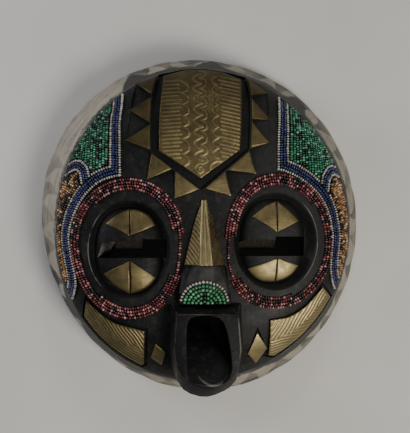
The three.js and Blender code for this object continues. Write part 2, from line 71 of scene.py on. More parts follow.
# %% Sizes of the dome, in millimetres
ORIGIN = np.array([-0.146, 2.938, 0.0])
RIM_RADIUS, RIM_WAVES = 153.5, [0.25, -1.3, -3.5, -2.3, 0, 1.5]
FACE_RADIUS, FACE_WAVES = 138.6, [-1.35, -3.05, -3.9, 0.1, 1.25, -0.73]
WALL_HEIGHT, WALL_POWER, BACK_EDGE_ROUND, BACK_EDGE_SHARE = 50.0, 1.35, 1.2, 0.03
FACE_CROWN, FACE_SHOULDER, SHOULDER_POWER = 7.0, 28.0, 8.5
WALL_THICKNESS, FACE_THICKNESS = 12.0, 20.0
GAP, BRASS = 0.35, 1.1


def wavy(mean, waves, angle):
    total = np.full_like(np.asarray(angle, float), mean)
    for i, share in enumerate(waves):
        turns = i // 2 + 1
        total = total + share * (np.sin(turns * angle) if i % 2 else np.cos(turns * angle))
    return total


def polar(radius, angle):
    """Plan points at a radius and an angle round the middle."""
    return np.stack([radius * np.cos(angle), radius * np.sin(angle)], -1)


def face_height(x, y):
    reach = np.hypot(x, y) / wavy(FACE_RADIUS, FACE_WAVES, np.arctan2(y, x))
    return WALL_HEIGHT + FACE_CROWN * (1 - reach**2) + FACE_SHOULDER * (1 - reach**SHOULDER_POWER)


def lifted(height):
    """A function that gives points at a lift above a height surface, along its normal."""

    def place(x, y, lift):
        x, y = np.asarray(x, float), np.asarray(y, float)
        step = 0.3
        slope_x = (height(x + step, y) - height(x - step, y)) / (2 * step)
        slope_y = (height(x, y + step) - height(x, y - step)) / (2 * step)
        normal = np.stack([-slope_x, -slope_y, np.ones_like(slope_x)], -1)
        normal /= np.linalg.norm(normal, axis=-1, keepdims=True)
        return np.stack([x, y, height(x, y)], -1) + normal * np.asarray(lift)[..., None]

    return place


on_face = lifted(face_height)
print("face height at the middle and at the edge:", face_height(0.0, 0.0), face_height(138.0, 0.0))

# %% [markdown]
# ## Meshes from rows of points
# Two helpers make nearly everything. One makes an object out of points in millimetres and faces.
# The other closes a stack of loops with a fan at each end, which gives a solid that the boolean
# modifier can cut.

# %% Helpers for meshes


def make_object(name, points, faces, smooth=True):
    mesh = bpy.data.meshes.new(name)
    mesh.from_pydata(((np.reshape(points, (-1, 3)) + ORIGIN) / 1000).tolist(), [], faces)
    mesh.polygons.foreach_set("use_smooth", [smooth] * len(mesh.polygons))
    mesh.update()
    thing = bpy.data.objects.new(name, mesh)
    bpy.context.scene.collection.objects.link(thing)
    return thing


def outward(thing):
    """Turns the faces of a closed mesh so that they all point out."""
    work = bmesh.new()
    work.from_mesh(thing.data)
    bmesh.ops.remove_doubles(work, verts=work.verts, dist=1e-6)
    bmesh.ops.dissolve_degenerate(work, edges=work.edges, dist=1e-6)
    bmesh.ops.recalc_face_normals(work, faces=work.faces)
    work.to_mesh(thing.data)
    work.free()
    return thing


def stack(name, loops, first, last):
    loops = np.asarray(loops, float)
    rows, count = loops.shape[:2]
    points = [*loops.reshape(-1, 3), first, last]
    ahead = [(k + 1) % count for k in range(count)]
    faces = [
        (r * count + k, r * count + ahead[k], (r + 1) * count + ahead[k], (r + 1) * count + k)
        for r in range(rows - 1)
        for k in range(count)
    ]
    faces += [(rows * count, ahead[k], k) for k in range(count)]
    end = (rows - 1) * count
    faces += [(rows * count + 1, end + k, end + ahead[k]) for k in range(count)]
    return outward(make_object(name, points, faces))


def hull(name, points):
    work = bmesh.new()
    for point in points:
        work.verts.new((np.asarray(point, float) + ORIGIN) / 1000)
    made = bmesh.ops.convex_hull(work, input=work.verts)
    inner = [v for v in made["geom_interior"] if isinstance(v, bmesh.types.BMVert)]
    bmesh.ops.delete(work, geom=inner, context="VERTS")
    bmesh.ops.recalc_face_normals(work, faces=work.faces)
    thing = make_object(name, [], [])
    work.to_mesh(thing.data)
    work.free()
    return thing


def bevel(thing, width, angle=25):
    """Rounds the sharp edges of a tool or a piece, as wear does."""
    step = thing.modifiers.new("worn edges", "BEVEL")
    step.width, step.segments = width / 1000, 2
    step.limit_method, step.angle_limit = "ANGLE", math.radians(angle)
    return settle(thing)


def settle(thing):
    """Applies the modifiers and keeps the result as a plain mesh."""
    done = bpy.data.meshes.new_from_object(thing.evaluated_get(bpy.context.evaluated_depsgraph_get()))
    thing.modifiers.clear()
    old, thing.data = thing.data, done
    bpy.data.meshes.remove(old)
    return thing


def carve(block, tool, operation="DIFFERENCE"):
    step = block.modifiers.new("carve", "BOOLEAN")
    step.operation, step.solver, step.object = operation, "MANIFOLD", tool
    settle(block)
    bpy.data.objects.remove(tool)
    return block


print("the middle of the face lies at, metres:", (ORIGIN / 1000).tolist())

# %% [markdown]
# ## The carved block
# The block is a low drum with a domed top. Hand tools leave it slightly uneven: the side wall has
# long flat cuts that run up and down, and the inside has rounder gouge marks. Both are moves of a
# point along its loop's radius, small enough that the beads and plates still clear the wood.

# %% The outer block and the hollow


def adze_marks(angle, height):
    """Shallow flats round the wall, at most 1.1 mm deep."""
    flats = np.abs(np.sin(11.5 * angle + 0.6 * np.sin(3 * angle) + height / 60))
    nicks = np.abs(np.sin(19 * angle + 1.7 + height / 25))
    return 0.7 * (flats - 1) + 0.35 * (nicks - 1)


def gouge_marks(angle, height):
    return 0.9 * np.sin(23 * angle + height / 9) * np.sin(height / 7 + 3 * np.sin(5 * angle))


def drum(name, segments, wall_shares, reaches, lift, back_z, marks):
    angle = 2 * np.pi * np.arange(segments) / segments
    rim, edge = wavy(RIM_RADIUS, RIM_WAVES, angle), wavy(FACE_RADIUS, FACE_WAVES, angle)
    loops = []
    for share in wall_shares:
        worn = BACK_EDGE_ROUND * max(0.0, 1 - share / BACK_EDGE_SHARE) ** 2
        even = rim + (edge - rim) * share**WALL_POWER - worn + lift(0.0)
        radius = even + min(1.0, 6 * (1 - share)) * marks(angle, WALL_HEIGHT * share)
        z = np.full_like(angle, back_z if share == 0 else WALL_HEIGHT * share)
        loops.append(np.c_[polar(radius, angle), z])
    for reach in reaches:
        x, y = polar(reach * edge, angle).T
        loops.append(on_face(x, y, np.full_like(angle, lift(1 - reach))))
    middle = on_face(np.array([0.0]), np.array([0.0]), np.array([lift(1.0)]))[0]
    return stack(name, loops, [0, 0, back_z], middle)


OUTER_SEGMENTS, INNER_SEGMENTS = 240, 120
WALL_SHARES = [0, 0.012, 0.03, 0.06, *np.arange(0.1, 0.97, 0.055)]
FACE_REACHES = [*(1 - np.linspace(0, 0.2, 13)), *np.linspace(0.775, 0.03, 26)]
HOLLOW_SHARES, HOLLOW_BACK_Z = [0, *np.arange(0.06, 0.9, 0.09)], -1.0
HOLLOW_REACHES = [*np.linspace(1, 0.75, 8), *np.linspace(0.68, 0.04, 14)]
mask = drum("carved_mask", OUTER_SEGMENTS, WALL_SHARES, FACE_REACHES, lambda share: 0.0, 0.0, adze_marks)


def inner_lift(share):
    return -(WALL_THICKNESS + (FACE_THICKNESS - WALL_THICKNESS) * min(1.0, 2.2 * share))


hollow = drum("hollow", INNER_SEGMENTS, HOLLOW_SHARES, HOLLOW_REACHES, inner_lift, HOLLOW_BACK_Z, gouge_marks)
print("block faces:", len(mask.data.polygons), "hollow faces:", len(hollow.data.polygons))

# %% [markdown]
# ## Eyes
# Each eye is a shallow oval valley with a bulge left standing in it, and one straight slit through
# the bulge. The upper wall of the slit leans down as it goes in, so that raw wood shows above the
# dark gap. A height that depends only on the share of the oval's half-axes makes valley and bulge.

# %% Eye sockets, bulges and slits
SOCKET_DEPTH, SOCKET_FLOOR, SOCKET_POWER = 9.0, 0.72, 1.6
BULGE_RISE, BULGE_ROUND, BULGE_SQUARE, BULGE_ROOT_Z = 1.5, 3.6, 2.6, 56.0
SOCKET_RINGS = [0.3, 0.6, *np.linspace(0.72, 1.04, 13)]
BULGE_RINGS = [0.08, *np.linspace(0.16, 0.8, 10), 0.86, 0.91, 0.95, 0.98, 1.0]
OVAL_SEGMENTS = 96
LEFT = {
    "sign": -1, "ring": [-70.7, -23.3], "socket": [-68.2, -24.6], "socket_half": [36.2, 43.6],
    "eye": [-69.2, -26.2], "half": [30.4, 40.4], "slit_x": [-98.2, -35.0], "slit_y": [-14.9, -32.0],
    "slant": 11.5, "bare": [-80.2, -56.1], "wear_and_highlight_side": [-0.092, -0.098],
}
RIGHT = {
    "sign": 1, "ring": [66.5, -17.5], "socket": [62.4, -17.4], "socket_half": [37.8, 44.0],
    "eye": [59.7, -16.4], "half": [30.1, 38.4], "slit_x": [29.6, 88.6], "slit_y": [-12.6, -30.4],
    "slant": 14.5, "bare": [29.6, 62.7], "wear_and_highlight_side": [0.086, 0.094],
}
SIDES = {"left": LEFT, "right": RIGHT}
SLIT_TOP_Z, SLIT_LOW_Z, HIGH = 92.0, 58.0, 150.0
SLIT_END = [
    [-98.2, -15.8, 92], [-80.2, -15.2, 92], [-80.2, -32, 92], [-98.2, -32, 92],
    [-80.2, -22.9, 58], [-80.2, -32, 58], [-96.5, -32, 76],
]


def oval_solid(name, centre, half, rings, height, end_z, square=2.0):
    angle = 2 * np.pi * np.arange(OVAL_SEGMENTS) / OVAL_SEGMENTS
    fuller = (np.abs(np.cos(angle)) ** square + np.abs(np.sin(angle)) ** square) ** (-1 / square)
    loops = []
    for share in rings:
        x = centre[0] + share * half[0] * fuller * np.cos(angle)
        y = centre[1] + share * half[1] * fuller * np.sin(angle)
        loops.append(np.stack([x, y, face_height(x, y) + height(share)], -1))
    loops.append(loops[-1] * [1, 1, 0] + [0, 0, end_z])
    top = [*centre, face_height(*centre) + height(0.0)]
    return stack(name, loops, top, [*centre, end_z])


def socket_height(share):
    rise = max(0.0, share - SOCKET_FLOOR) / (1 - SOCKET_FLOOR)
    return -SOCKET_DEPTH + SOCKET_DEPTH * rise**SOCKET_POWER


def bulge_height(share):
    return (SOCKET_DEPTH + BULGE_RISE) * np.sqrt(np.maximum(0, 1 - share**BULGE_ROUND)) - SOCKET_DEPTH


for eye in (LEFT, RIGHT):
    carve(mask, oval_solid("socket", eye["socket"], eye["socket_half"], SOCKET_RINGS, socket_height, HIGH))
for eye in (LEFT, RIGHT):
    place = (eye["eye"], eye["half"], BULGE_RINGS)
    carve(mask, oval_solid("bulge", *place, bulge_height, BULGE_ROOT_Z, BULGE_SQUARE), "UNION")
print("after the eyes:", len(mask.data.polygons), "faces")

# %% [markdown]
# ## Nose
# The nose is a wedge with a narrow flat ridge that rises towards the viewer, and below it a wider
# block whose front slopes back down to the mouth. Both are lofts: a section that changes along the
# length of the nose. The brass sheet later uses the same sections and is lifted off them.

# %% Nose wedge and nose tip
NOSE_X, NOSE_TOP_Y, NOSE_LOW_Y, NOSE_RISE, NOSE_UNDER_Z = -1.8, 20.5, -38.5, 24.0, 62
NOSE_HALF, NOSE_START_HALF, RIDGE_HALF, RIDGE_START_HALF = 18.0, 1.4, 4.7, 0.8
NOSE_SUNK, RIDGE_SUNK = 3, 0.6
TIP_X, TIP_Y = -1.5, [-38.4, -43, -53, -63, -73]
TIP_HALF, TIP_RISE = [20.5, 24.6], [23.6, 23.6, 21.4, 17.3, 11]
TIP_FLAT, TIP_TOP, TIP_SUNK = 0.3, 0.98, -3


def nose_section(share):
    """Y, half foot and ridge widths, foot and ridge heights, at a share of the nose's length."""
    y = NOSE_TOP_Y + (NOSE_LOW_Y - NOSE_TOP_Y) * share
    ground = float(face_height(NOSE_X, y))
    half = NOSE_START_HALF + (NOSE_HALF - NOSE_START_HALF) * share**0.7 + 1
    ridge_half = RIDGE_START_HALF + (RIDGE_HALF - RIDGE_START_HALF) * share
    return y, half, ridge_half, ground - NOSE_SUNK, ground - RIDGE_SUNK + (NOSE_RISE + RIDGE_SUNK) * share


def nose_wedge():
    loops = []
    for share in np.linspace(0, 1, 15):
        y, half, ridge_half, foot, ridge = nose_section(share)
        outline = [[-half, foot], [-ridge_half, ridge], [ridge_half, ridge], [half, foot], [0, NOSE_UNDER_Z]]
        loops.append([[NOSE_X + x, y, z] for x, z in outline])
    return stack("nose", loops, np.mean(loops[0], 0), np.mean(loops[-1], 0))


def tip_profile(y):
    """Half width and rise of the nose tip, then of its shoulders."""
    index = np.interp(y, TIP_Y[::-1], [1, 0.75, 0.5, 0.25, 0])
    half = TIP_HALF[0] + (TIP_HALF[1] - TIP_HALF[0]) * index
    rise = np.interp(y, TIP_Y[::-1], TIP_RISE[::-1])
    return half, rise, half * (0.55 + 0.4 * index), rise * (0.62 + 0.28 * index)


def tip_height(x, y):
    """Height of the nose tip's front over the plan, for the beads that lie on it."""
    half, rise, shoulder, shoulder_rise = tip_profile(y)
    across, flat, top = np.abs(x - TIP_X), TIP_FLAT * half, rise * TIP_TOP
    inner = top + (shoulder_rise - top) * (across - flat) / (shoulder - flat)
    outer = shoulder_rise + (TIP_SUNK - shoulder_rise) * (across - shoulder) / (half - shoulder)
    over = np.where(across < flat, top, np.where(across < shoulder, inner, outer))
    return face_height(NOSE_X, y) + over


def nose_tip():
    loops = []
    for y in TIP_Y:
        half, rise, shoulder, shoulder_rise = tip_profile(y)
        ground, flat, top = float(face_height(NOSE_X, y)), TIP_FLAT * half, TIP_TOP * rise
        outline = [
            [-half, TIP_SUNK], [-shoulder, shoulder_rise], [-flat, top], [flat, top],
            [shoulder, shoulder_rise], [half, TIP_SUNK], [0, -24],
        ]
        loops.append([[TIP_X + x, y, ground + z] for x, z in outline])
    return stack("tip", loops, np.mean(loops[0], 0), np.mean(loops[-1], 0))


carve(mask, bevel(nose_wedge(), 0.8), "UNION")
carve(mask, bevel(nose_tip(), 1.0, angle=14), "UNION")
print("after the nose:", len(mask.data.polygons), "faces")

# %% [markdown]
# ## Mouth
# The mouth stands out as a tapered box. Its opening is cut straight in, and its floor is a ramp
# that is left standing: deep at the top, where a gap goes right through, and shallow at the chin.

# %% Mouth box, opening and ramp
MOUTH_FRONT = {"corner": [27.2, -81], "centre": [0, -113], "half": [29.3, 31.8], "top_z": 106, "low_z": 112}
MOUTH_FOOT = {"corner": [31.5, -72], "centre": [1, -114], "half": [33.6, 39], "top_z": 82, "low_z": 60}
MOUTH_ARC = [0, -25, -50, -65, -80, -95, -110, -125, -140, -160, -180]
MOUTH_ROOT_Z, CHIN_Z = 44.0, 94.0
CHIN = [
    [-26.6, -139.6], [-20.9, -148.0], [-15, -151.6], [-6.1, -154.3], [0.5, -154.6],
    [7.5, -152.8], [15.9, -149.2], [20.6, -146.2], [25.8, -140.2],
]
OPENING = [
    [-18.2, -88.8], [-16.4, -85.4], [-12.2, -83.0], [-6.8, -82.0], [1.7, -82.0], [8.6, -83.0],
    [13.9, -87.2], [17.1, -96.0], [19.4, -107.2], [21.0, -120.2], [21.3, -128.6], [19.2, -136.4],
    [13.9, -140.9], [6.0, -142.4], [-4.4, -141.6], [-13.2, -140.4], [-17.4, -135.8], [-18.6, -127.2],
    [-18.9, -112.0], [-18.7, -98.6],
]
RAMP_TOP = [
    [-24, -91, 62], [3, -91, 62], [22.5, -130, 98], [-24, -128, 98], [24, -143, 109], [-24, -143, 109],
]


def oval_point(centre, half, degrees, share=1.0):
    angle = np.radians(degrees)
    x = centre[0] + share * half[0] * np.cos(angle)
    y = centre[1] + share * half[1] * np.sin(angle)
    return np.stack([x, y], -1)


def mouth_loop(sizes):
    low = sizes["centre"][1] - sizes["half"][1]
    corner = sizes["corner"]
    arc = [oval_point(sizes["centre"], sizes["half"], a) for a in MOUTH_ARC]
    rise = (sizes["low_z"] - sizes["top_z"]) / (corner[1] - low)
    outline = [[-corner[0], corner[1]], corner, *arc]
    return [[x, y, sizes["top_z"] + rise * (corner[1] - y)] for x, y in outline]


def outset(outline, distance):
    """An outline pushed out by a distance, corner by corner."""
    outline = np.asarray(outline, float)
    ahead, behind = np.roll(outline, -1, 0), np.roll(outline, 1, 0)
    turn = np.sign(np.sum(outline[:, 0] * ahead[:, 1] - outline[:, 1] * ahead[:, 0]))
    a = (outline - behind) / np.linalg.norm(outline - behind, axis=1, keepdims=True)
    b = (ahead - outline) / np.linalg.norm(ahead - outline, axis=1, keepdims=True)
    miter = np.stack([a[:, 1] + b[:, 1], -a[:, 0] - b[:, 0]], 1)
    miter /= np.linalg.norm(miter, axis=1, keepdims=True)
    stretch = turn * distance / np.maximum(0.5, miter[:, 0] * a[:, 1] - miter[:, 1] * a[:, 0])
    return outline + miter * stretch[:, None]


def mouth_outline(grow=0.0):
    """The opening's rounded outline, or one a little larger. Corners are cut twice to round them."""
    line = outset(OPENING, grow)
    for _ in range(2):
        ahead = np.roll(line, -1, 0)
        line = np.stack([0.75 * line + 0.25 * ahead, 0.25 * line + 0.75 * ahead], 1).reshape(-1, 2)
    return line


def prism(name, outline, low, high):
    outline = np.asarray(outline, float)
    count = len(outline)
    points = np.concatenate([np.c_[outline, np.full(count, low)], np.c_[outline, np.full(count, high)]])
    faces = [(k, (k + 1) % count, count + (k + 1) % count, count + k) for k in range(count)]
    ends = [tuple(range(count)), tuple(range(count, 2 * count))]
    return outward(make_object(name, points, [*faces, *ends], smooth=False))


def at_z(points, z):
    """The same plan points, all at one height."""
    return [[point[0], point[1], z] for point in points]


foot = mouth_loop(MOUTH_FOOT)
box = hull("mouth box", [*mouth_loop(MOUTH_FRONT), *foot, *at_z(foot, MOUTH_ROOT_Z), *at_z(CHIN, CHIN_Z)])
carve(mask, bevel(box, 1.0, angle=22), "UNION")
ramp = hull("ramp", [*RAMP_TOP, *at_z(RAMP_TOP, MOUTH_ROOT_Z)])
carve(ramp, prism("mouth tube", mouth_outline(1.0), MOUTH_ROOT_Z, HIGH), "INTERSECT")
print("mouth box faces:", len(mask.data.polygons), "ramp faces:", len(ramp.data.polygons))

# %% [markdown]
# ## Grooves and the open parts
# The brass shield and the cheek plates lie in shallow grooves that the carver cut round them.
# A groove is a ring-shaped prism, held at an even depth by a copy of the drum that is a little
# smaller. After the grooves come the openings: mouth, hollow and eye slits, in that order, so that
# the ramp is trimmed by the hollow but not by the mouth.

# %% Grooves, openings and cuts
SHIELD_TOP = [[-36.9, 132.6], [-18, 137.6], [0, 138.6], [17, 136], [33.7, 129.2]]
SHIELD_SIDES = [[32.6, 98], [30.8, 63.8], [-4.8, 38.5], [-42.3, 62.8], [-41.4, 99]]
GROOVE_EDGE = {
    "left": np.array([[-41, 134.5], [-47.5, 112], [-48.6, 90], [-48.6, 62.5], [-4, 28.7]]),
    "right": np.array([[38.5, 132.5], [40.4, 112], [40, 90], [38.6, 64.5], [-4, 28.7]]),
}
GROOVE_DEPTH, GROOVE_LOW_Z, CHEEK_GROOVE, CHEEK_GROOVE_DEPTH = 2.6, 38.0, 2.6, 1.6
FLOOR_SHARES = [0, 0.3, 0.6, 0.85]
FLOOR_REACHES = [*np.linspace(1, 0.8, 8), *np.linspace(0.75, 0.06, 14)]
CHEEK_EDGE, CHEEK_RING, RING_HALF = 0.967, [1.11, 1.03], [50.4, 61.9]
CHEEKS = {
    "left": {"edge": [218, 246.5], "ring": [264, 227], "inner": [-54.5, -97]},
    "right": {"edge": [329.5, 297.5], "ring": [276, 320], "inner": [58, -88]},
}
PLAIN_SLANT, SLIT_LAP = 1.5, 0.4


def cheek_sides(name, low_count, high_count):
    """The cheek plate's lower curve along the face's edge and its upper curve along the bead ring."""
    cheek = CHEEKS[name]
    angle = np.radians(np.linspace(*cheek["edge"], low_count))
    low = polar(CHEEK_EDGE * wavy(FACE_RADIUS, FACE_WAVES, angle), angle)
    share = np.linspace(0, 1, high_count)
    away = CHEEK_RING[0] + (CHEEK_RING[1] - CHEEK_RING[0]) * np.minimum(1, 1.4 * share)
    turn = cheek["ring"][0] + (cheek["ring"][1] - cheek["ring"][0]) * share
    high = np.stack([oval_point(SIDES[name]["ring"], RING_HALF, a, s) for a, s in zip(turn, away)])
    return low, np.array([cheek["inner"][0], low[-1][1] + 1]), np.array(cheek["inner"]), high


def unmarked(angle, height):
    return np.zeros_like(angle)


def groove(name, outer, inner, depth):
    ring = prism(name, outer, GROOVE_LOW_Z, HIGH)
    carve(ring, prism("inside", inner, GROOVE_LOW_Z - 1, HIGH + 1))
    smaller = (FLOOR_SHARES, FLOOR_REACHES, lambda share: -depth)
    return carve(ring, drum("groove floor", INNER_SEGMENTS, *smaller, 0.0, unmarked))


shield_outline = np.array(SHIELD_TOP + SHIELD_SIDES)
groove_top = [[18, 137.4], [0, 140.2], [-20, 139.2]]
groove_outline = [*GROOVE_EDGE["left"], *GROOVE_EDGE["right"][:-1][::-1], *groove_top]
carve(mask, groove("shield groove", groove_outline, shield_outline, GROOVE_DEPTH))
for name in SIDES:
    low, low_inner, inner, high = cheek_sides(name, 16, 20)
    cheek_outline = np.array([*low, low_inner, inner, *high])
    wider = outset(cheek_outline, CHEEK_GROOVE)
    carve(mask, groove("cheek groove", wider, cheek_outline, CHEEK_GROOVE_DEPTH))
carve(mask, prism("mouth hole", mouth_outline(), MOUTH_ROOT_Z, HIGH))
carve(mask, ramp, "UNION")
carve(mask, hollow)
for eye in (LEFT, RIGHT):
    (y0, y1), (bare_from, bare_to) = eye["slit_y"], eye["bare"]
    slits = [(bare_from, bare_to, eye["slant"]), (bare_to - SLIT_LAP, eye["slit_x"][1], PLAIN_SLANT)]
    for x0, x1, slant in slits:
        front = [[x0, y0], [x1, y0], [x1, y1], [x0, y1]]
        root = [[x0, y0 - slant], [x1, y0 - slant], [x1, y1], [x0, y1]]
        carve(mask, hull("slit", [*at_z(front, SLIT_TOP_Z), *at_z(root, SLIT_LOW_Z)]))
carve(mask, hull("slit end", SLIT_END))
print("carved mask:", len(mask.data.polygons), "faces")

# %% [markdown]
# ## Small carved facets
# Between the brass triangles the wood is cut down towards the groove, so that each triangle has a
# dark facet beside it. Each facet is a wedge: deep at the groove, nothing at the triangles' tips.
# A shallow recess surrounds the right diamond. A saw-thin split marks the lower left of the wall.

# %% Facets, a recess and a split
TRIANGLE_OFFSET, CUT_CLEAR, DIAMOND_CLEAR = 1.2, 9.0, 0.5
FACET_DEPTHS, RECESS_DEPTHS = [2.4, 0.05, 0.05], [2.6, 0.6, 0.6]
RECESS = [[46.5, -94.0], [36.4, -121.5], [59.2, -121.5]]
SPLIT = [
    [-128.5, -52.4, 53.0], [-127.8, -54.0, 53.0], [-141.0, -58.6, 6.0], [-140.2, -60.0, 6.0],
    [-152, -57.0, 56.0], [-152, -57.9, 56.0], [-158, -61.5, 2.0], [-158, -62.2, 2.0],
]
TRIANGLES = {
    "left": [
        (4, 21, 15, 18), (24, 47, 37, 20), (49, 71, 63, 24),
        (74, 96.5, 84.7, 22.3), (100.5, 126.5, 114.4, 21.1),
    ],
    "right": [
        (3, 19, 18, 18), (21, 40, 41, 18), (43, 66, 61, 18),
        (69.5, 94.5, 77.3, 20.7), (97.5, 120.5, 107.3, 20.9),
    ],
}
DIAMONDS = {
    "left": [[-44.9, -108.2], [-35.6, -116.3], [-38.8, -128.4], [-48.6, -121.2]],
    "right": [[46.4, -99.8], [56, -113.5], [46.7, -127.4], [38.4, -118.3]],
}


def from_groove(name, along, out):
    """A point at a distance along the groove's edge and a distance away from it."""
    corners, left = GROOVE_EDGE[name], along
    lengths = np.linalg.norm(np.diff(corners, axis=0), axis=1)
    i = 0
    while i < len(lengths) - 1 and left > lengths[i]:
        left, i = left - lengths[i], i + 1
    direction = (corners[i + 1] - corners[i]) / lengths[i]
    outward_side = SIDES[name]["sign"] * np.array([-direction[1], direction[0]])
    return corners[i] + direction * left + outward_side * out


def triangle_corners(name, sizes):
    base_from, base_to, apex_along, apex_out = sizes
    base = [from_groove(name, along, TRIANGLE_OFFSET) for along in (base_from, base_to)]
    return [*base, from_groove(name, apex_along, apex_out)]


def wedge_cut(name, corners, depths):
    corners = np.asarray(corners, float)
    low = on_face(corners[:, 0], corners[:, 1], -np.asarray(depths, float))
    high = on_face(corners[:, 0], corners[:, 1], np.full(len(corners), CUT_CLEAR))
    return hull(name, [*low, *high])


for name in SIDES:
    for first, second in zip(TRIANGLES[name], TRIANGLES[name][1:]):
        a, b = triangle_corners(name, first), triangle_corners(name, second)
        between = (a[1] + b[0]) / 2
        tips = [tip * 0.93 + between * 0.07 for tip in (a[2], b[2])]
        carve(mask, wedge_cut("facet", [between, *tips], FACET_DEPTHS))
recess = wedge_cut("diamond recess", RECESS, RECESS_DEPTHS)
post = prism("diamond post", outset(DIAMONDS["right"], DIAMOND_CLEAR), GROOVE_LOW_Z, HIGH)
carve(mask, carve(recess, post))
carve(mask, hull("split", SPLIT))
mask.data.set_sharp_from_angle(angle=math.radians(32))
print("carved mask with facets:", len(mask.data.polygons), "faces")

# %% [markdown]
# ## One way to make every material
# A material is a tree of nodes. One small function adds a node, sets its fields and connects its
# inputs, so a tree reads as a list. Colours are written as sRGB codes, the way they are picked
# from a swatch, and one function turns them to the linear values that the renderer wants.

# %% Colour and node helpers
MATH, NOISE, MIX = "ShaderNodeMath", "ShaderNodeTexNoise", "ShaderNodeMix"
RAMP, RANGE, ATTRIBUTE = "ShaderNodeValToRGB", "ShaderNodeMapRange", "ShaderNodeAttribute"
MAPPING, COMBINE, SEPARATE = "ShaderNodeMapping", "ShaderNodeCombineXYZ", "ShaderNodeSeparateXYZ"


def colour(code):
    parts = [int(code[i : i + 2], 16) / 255 for i in (1, 3, 5)]
    return [*(c / 12.92 if c <= 0.04045 else ((c + 0.055) / 1.055) ** 2.4 for c in parts), 1.0]


def add(tree, kind, inputs=None, stops=None, **fields):
    """Adds a node. An input is a value, a colour code, a socket, or a node, for its first output."""
    made = tree.nodes.new(kind)
    for key, value in fields.items():
        setattr(made, key, value)
    for key, value in (inputs or {}).items():
        value = value.outputs[0] if isinstance(value, bpy.types.Node) else value
        if isinstance(value, bpy.types.NodeSocket):
            tree.links.new(value, made.inputs[key])
        else:
            coded = isinstance(value, str) and value.startswith("#")
            made.inputs[key].default_value = colour(value) if coded else value
    while stops and len(made.color_ramp.elements) < len(stops):
        made.color_ramp.elements.new(0.5)
    for i, (place, code) in enumerate(stops or []):
        made.color_ramp.elements[i].position, made.color_ramp.elements[i].color = place, colour(code)
    return made


def per_mm(size):
    """The texture scale that gives patches of about that many millimetres."""
    return 1000 / size


def new_material(name):
    material = bpy.data.materials.new(name)
    material.use_nodes = True
    tree = material.node_tree
    return material, tree, tree.nodes["Principled BSDF"], add(tree, "ShaderNodeTexCoord").outputs["Object"]


def finish_surface(tree, shader, base, rough, height, depth_mm):
    """Connects a colour, a roughness and a fine bump of the given depth to the shader."""
    tree.links.new(base, shader.inputs["Base Color"])
    tree.links.new(rough, shader.inputs["Roughness"])
    bump = add(tree, "ShaderNodeBump", {"Height": height, "Distance": depth_mm / 1000, "Strength": 1.0})
    tree.links.new(bump.outputs["Normal"], shader.inputs["Normal"])


def centred_parts(tree, place):
    """X, Y and Z of a place, in metres from the middle of the face."""
    centred = add(tree, MAPPING, {"Vector": place, "Location": (-ORIGIN / 1000).tolist()})
    return add(tree, SEPARATE, {"Vector": centred}).outputs


print("black of the wood, linear:", [round(c, 4) for c in colour("#1c1e20")])

# %% [markdown]
# ## Wood: stained, painted and raw
# The face is a light hardwood stained black and rubbed with wax: almost no colour, a soft sheen,
# grey-brown where edges and high spots have worn. The recessed parts are painted blacker as painted
# shade, so the mesh stores how deep each point lies under the dome. The right half is painted a
# lighter grey, as painted light from the right. Parts of three ovals and the edge of the face get a
# thin pale line, partly where hands have rubbed the stain away and partly a painted highlight.

# %% Waxed black wood
LIP_OVAL = [[4.5, -117.5], [17.5, 25.2]]


def oval_share(tree, x, y, centre, half):
    """How far a point is from an oval's middle, as a share of its half-axes. Sizes in millimetres."""
    spot = [
        add(tree, MATH, {0: value, 1: 1000 / size, 2: -middle / size}, operation="MULTIPLY_ADD")
        for value, middle, size in zip((x, y), centre, half)
    ]
    joined = add(tree, COMBINE, {"X": spot[0], "Y": spot[1]})
    return add(tree, "ShaderNodeVectorMath", {0: joined}, operation="LENGTH").outputs["Value"]


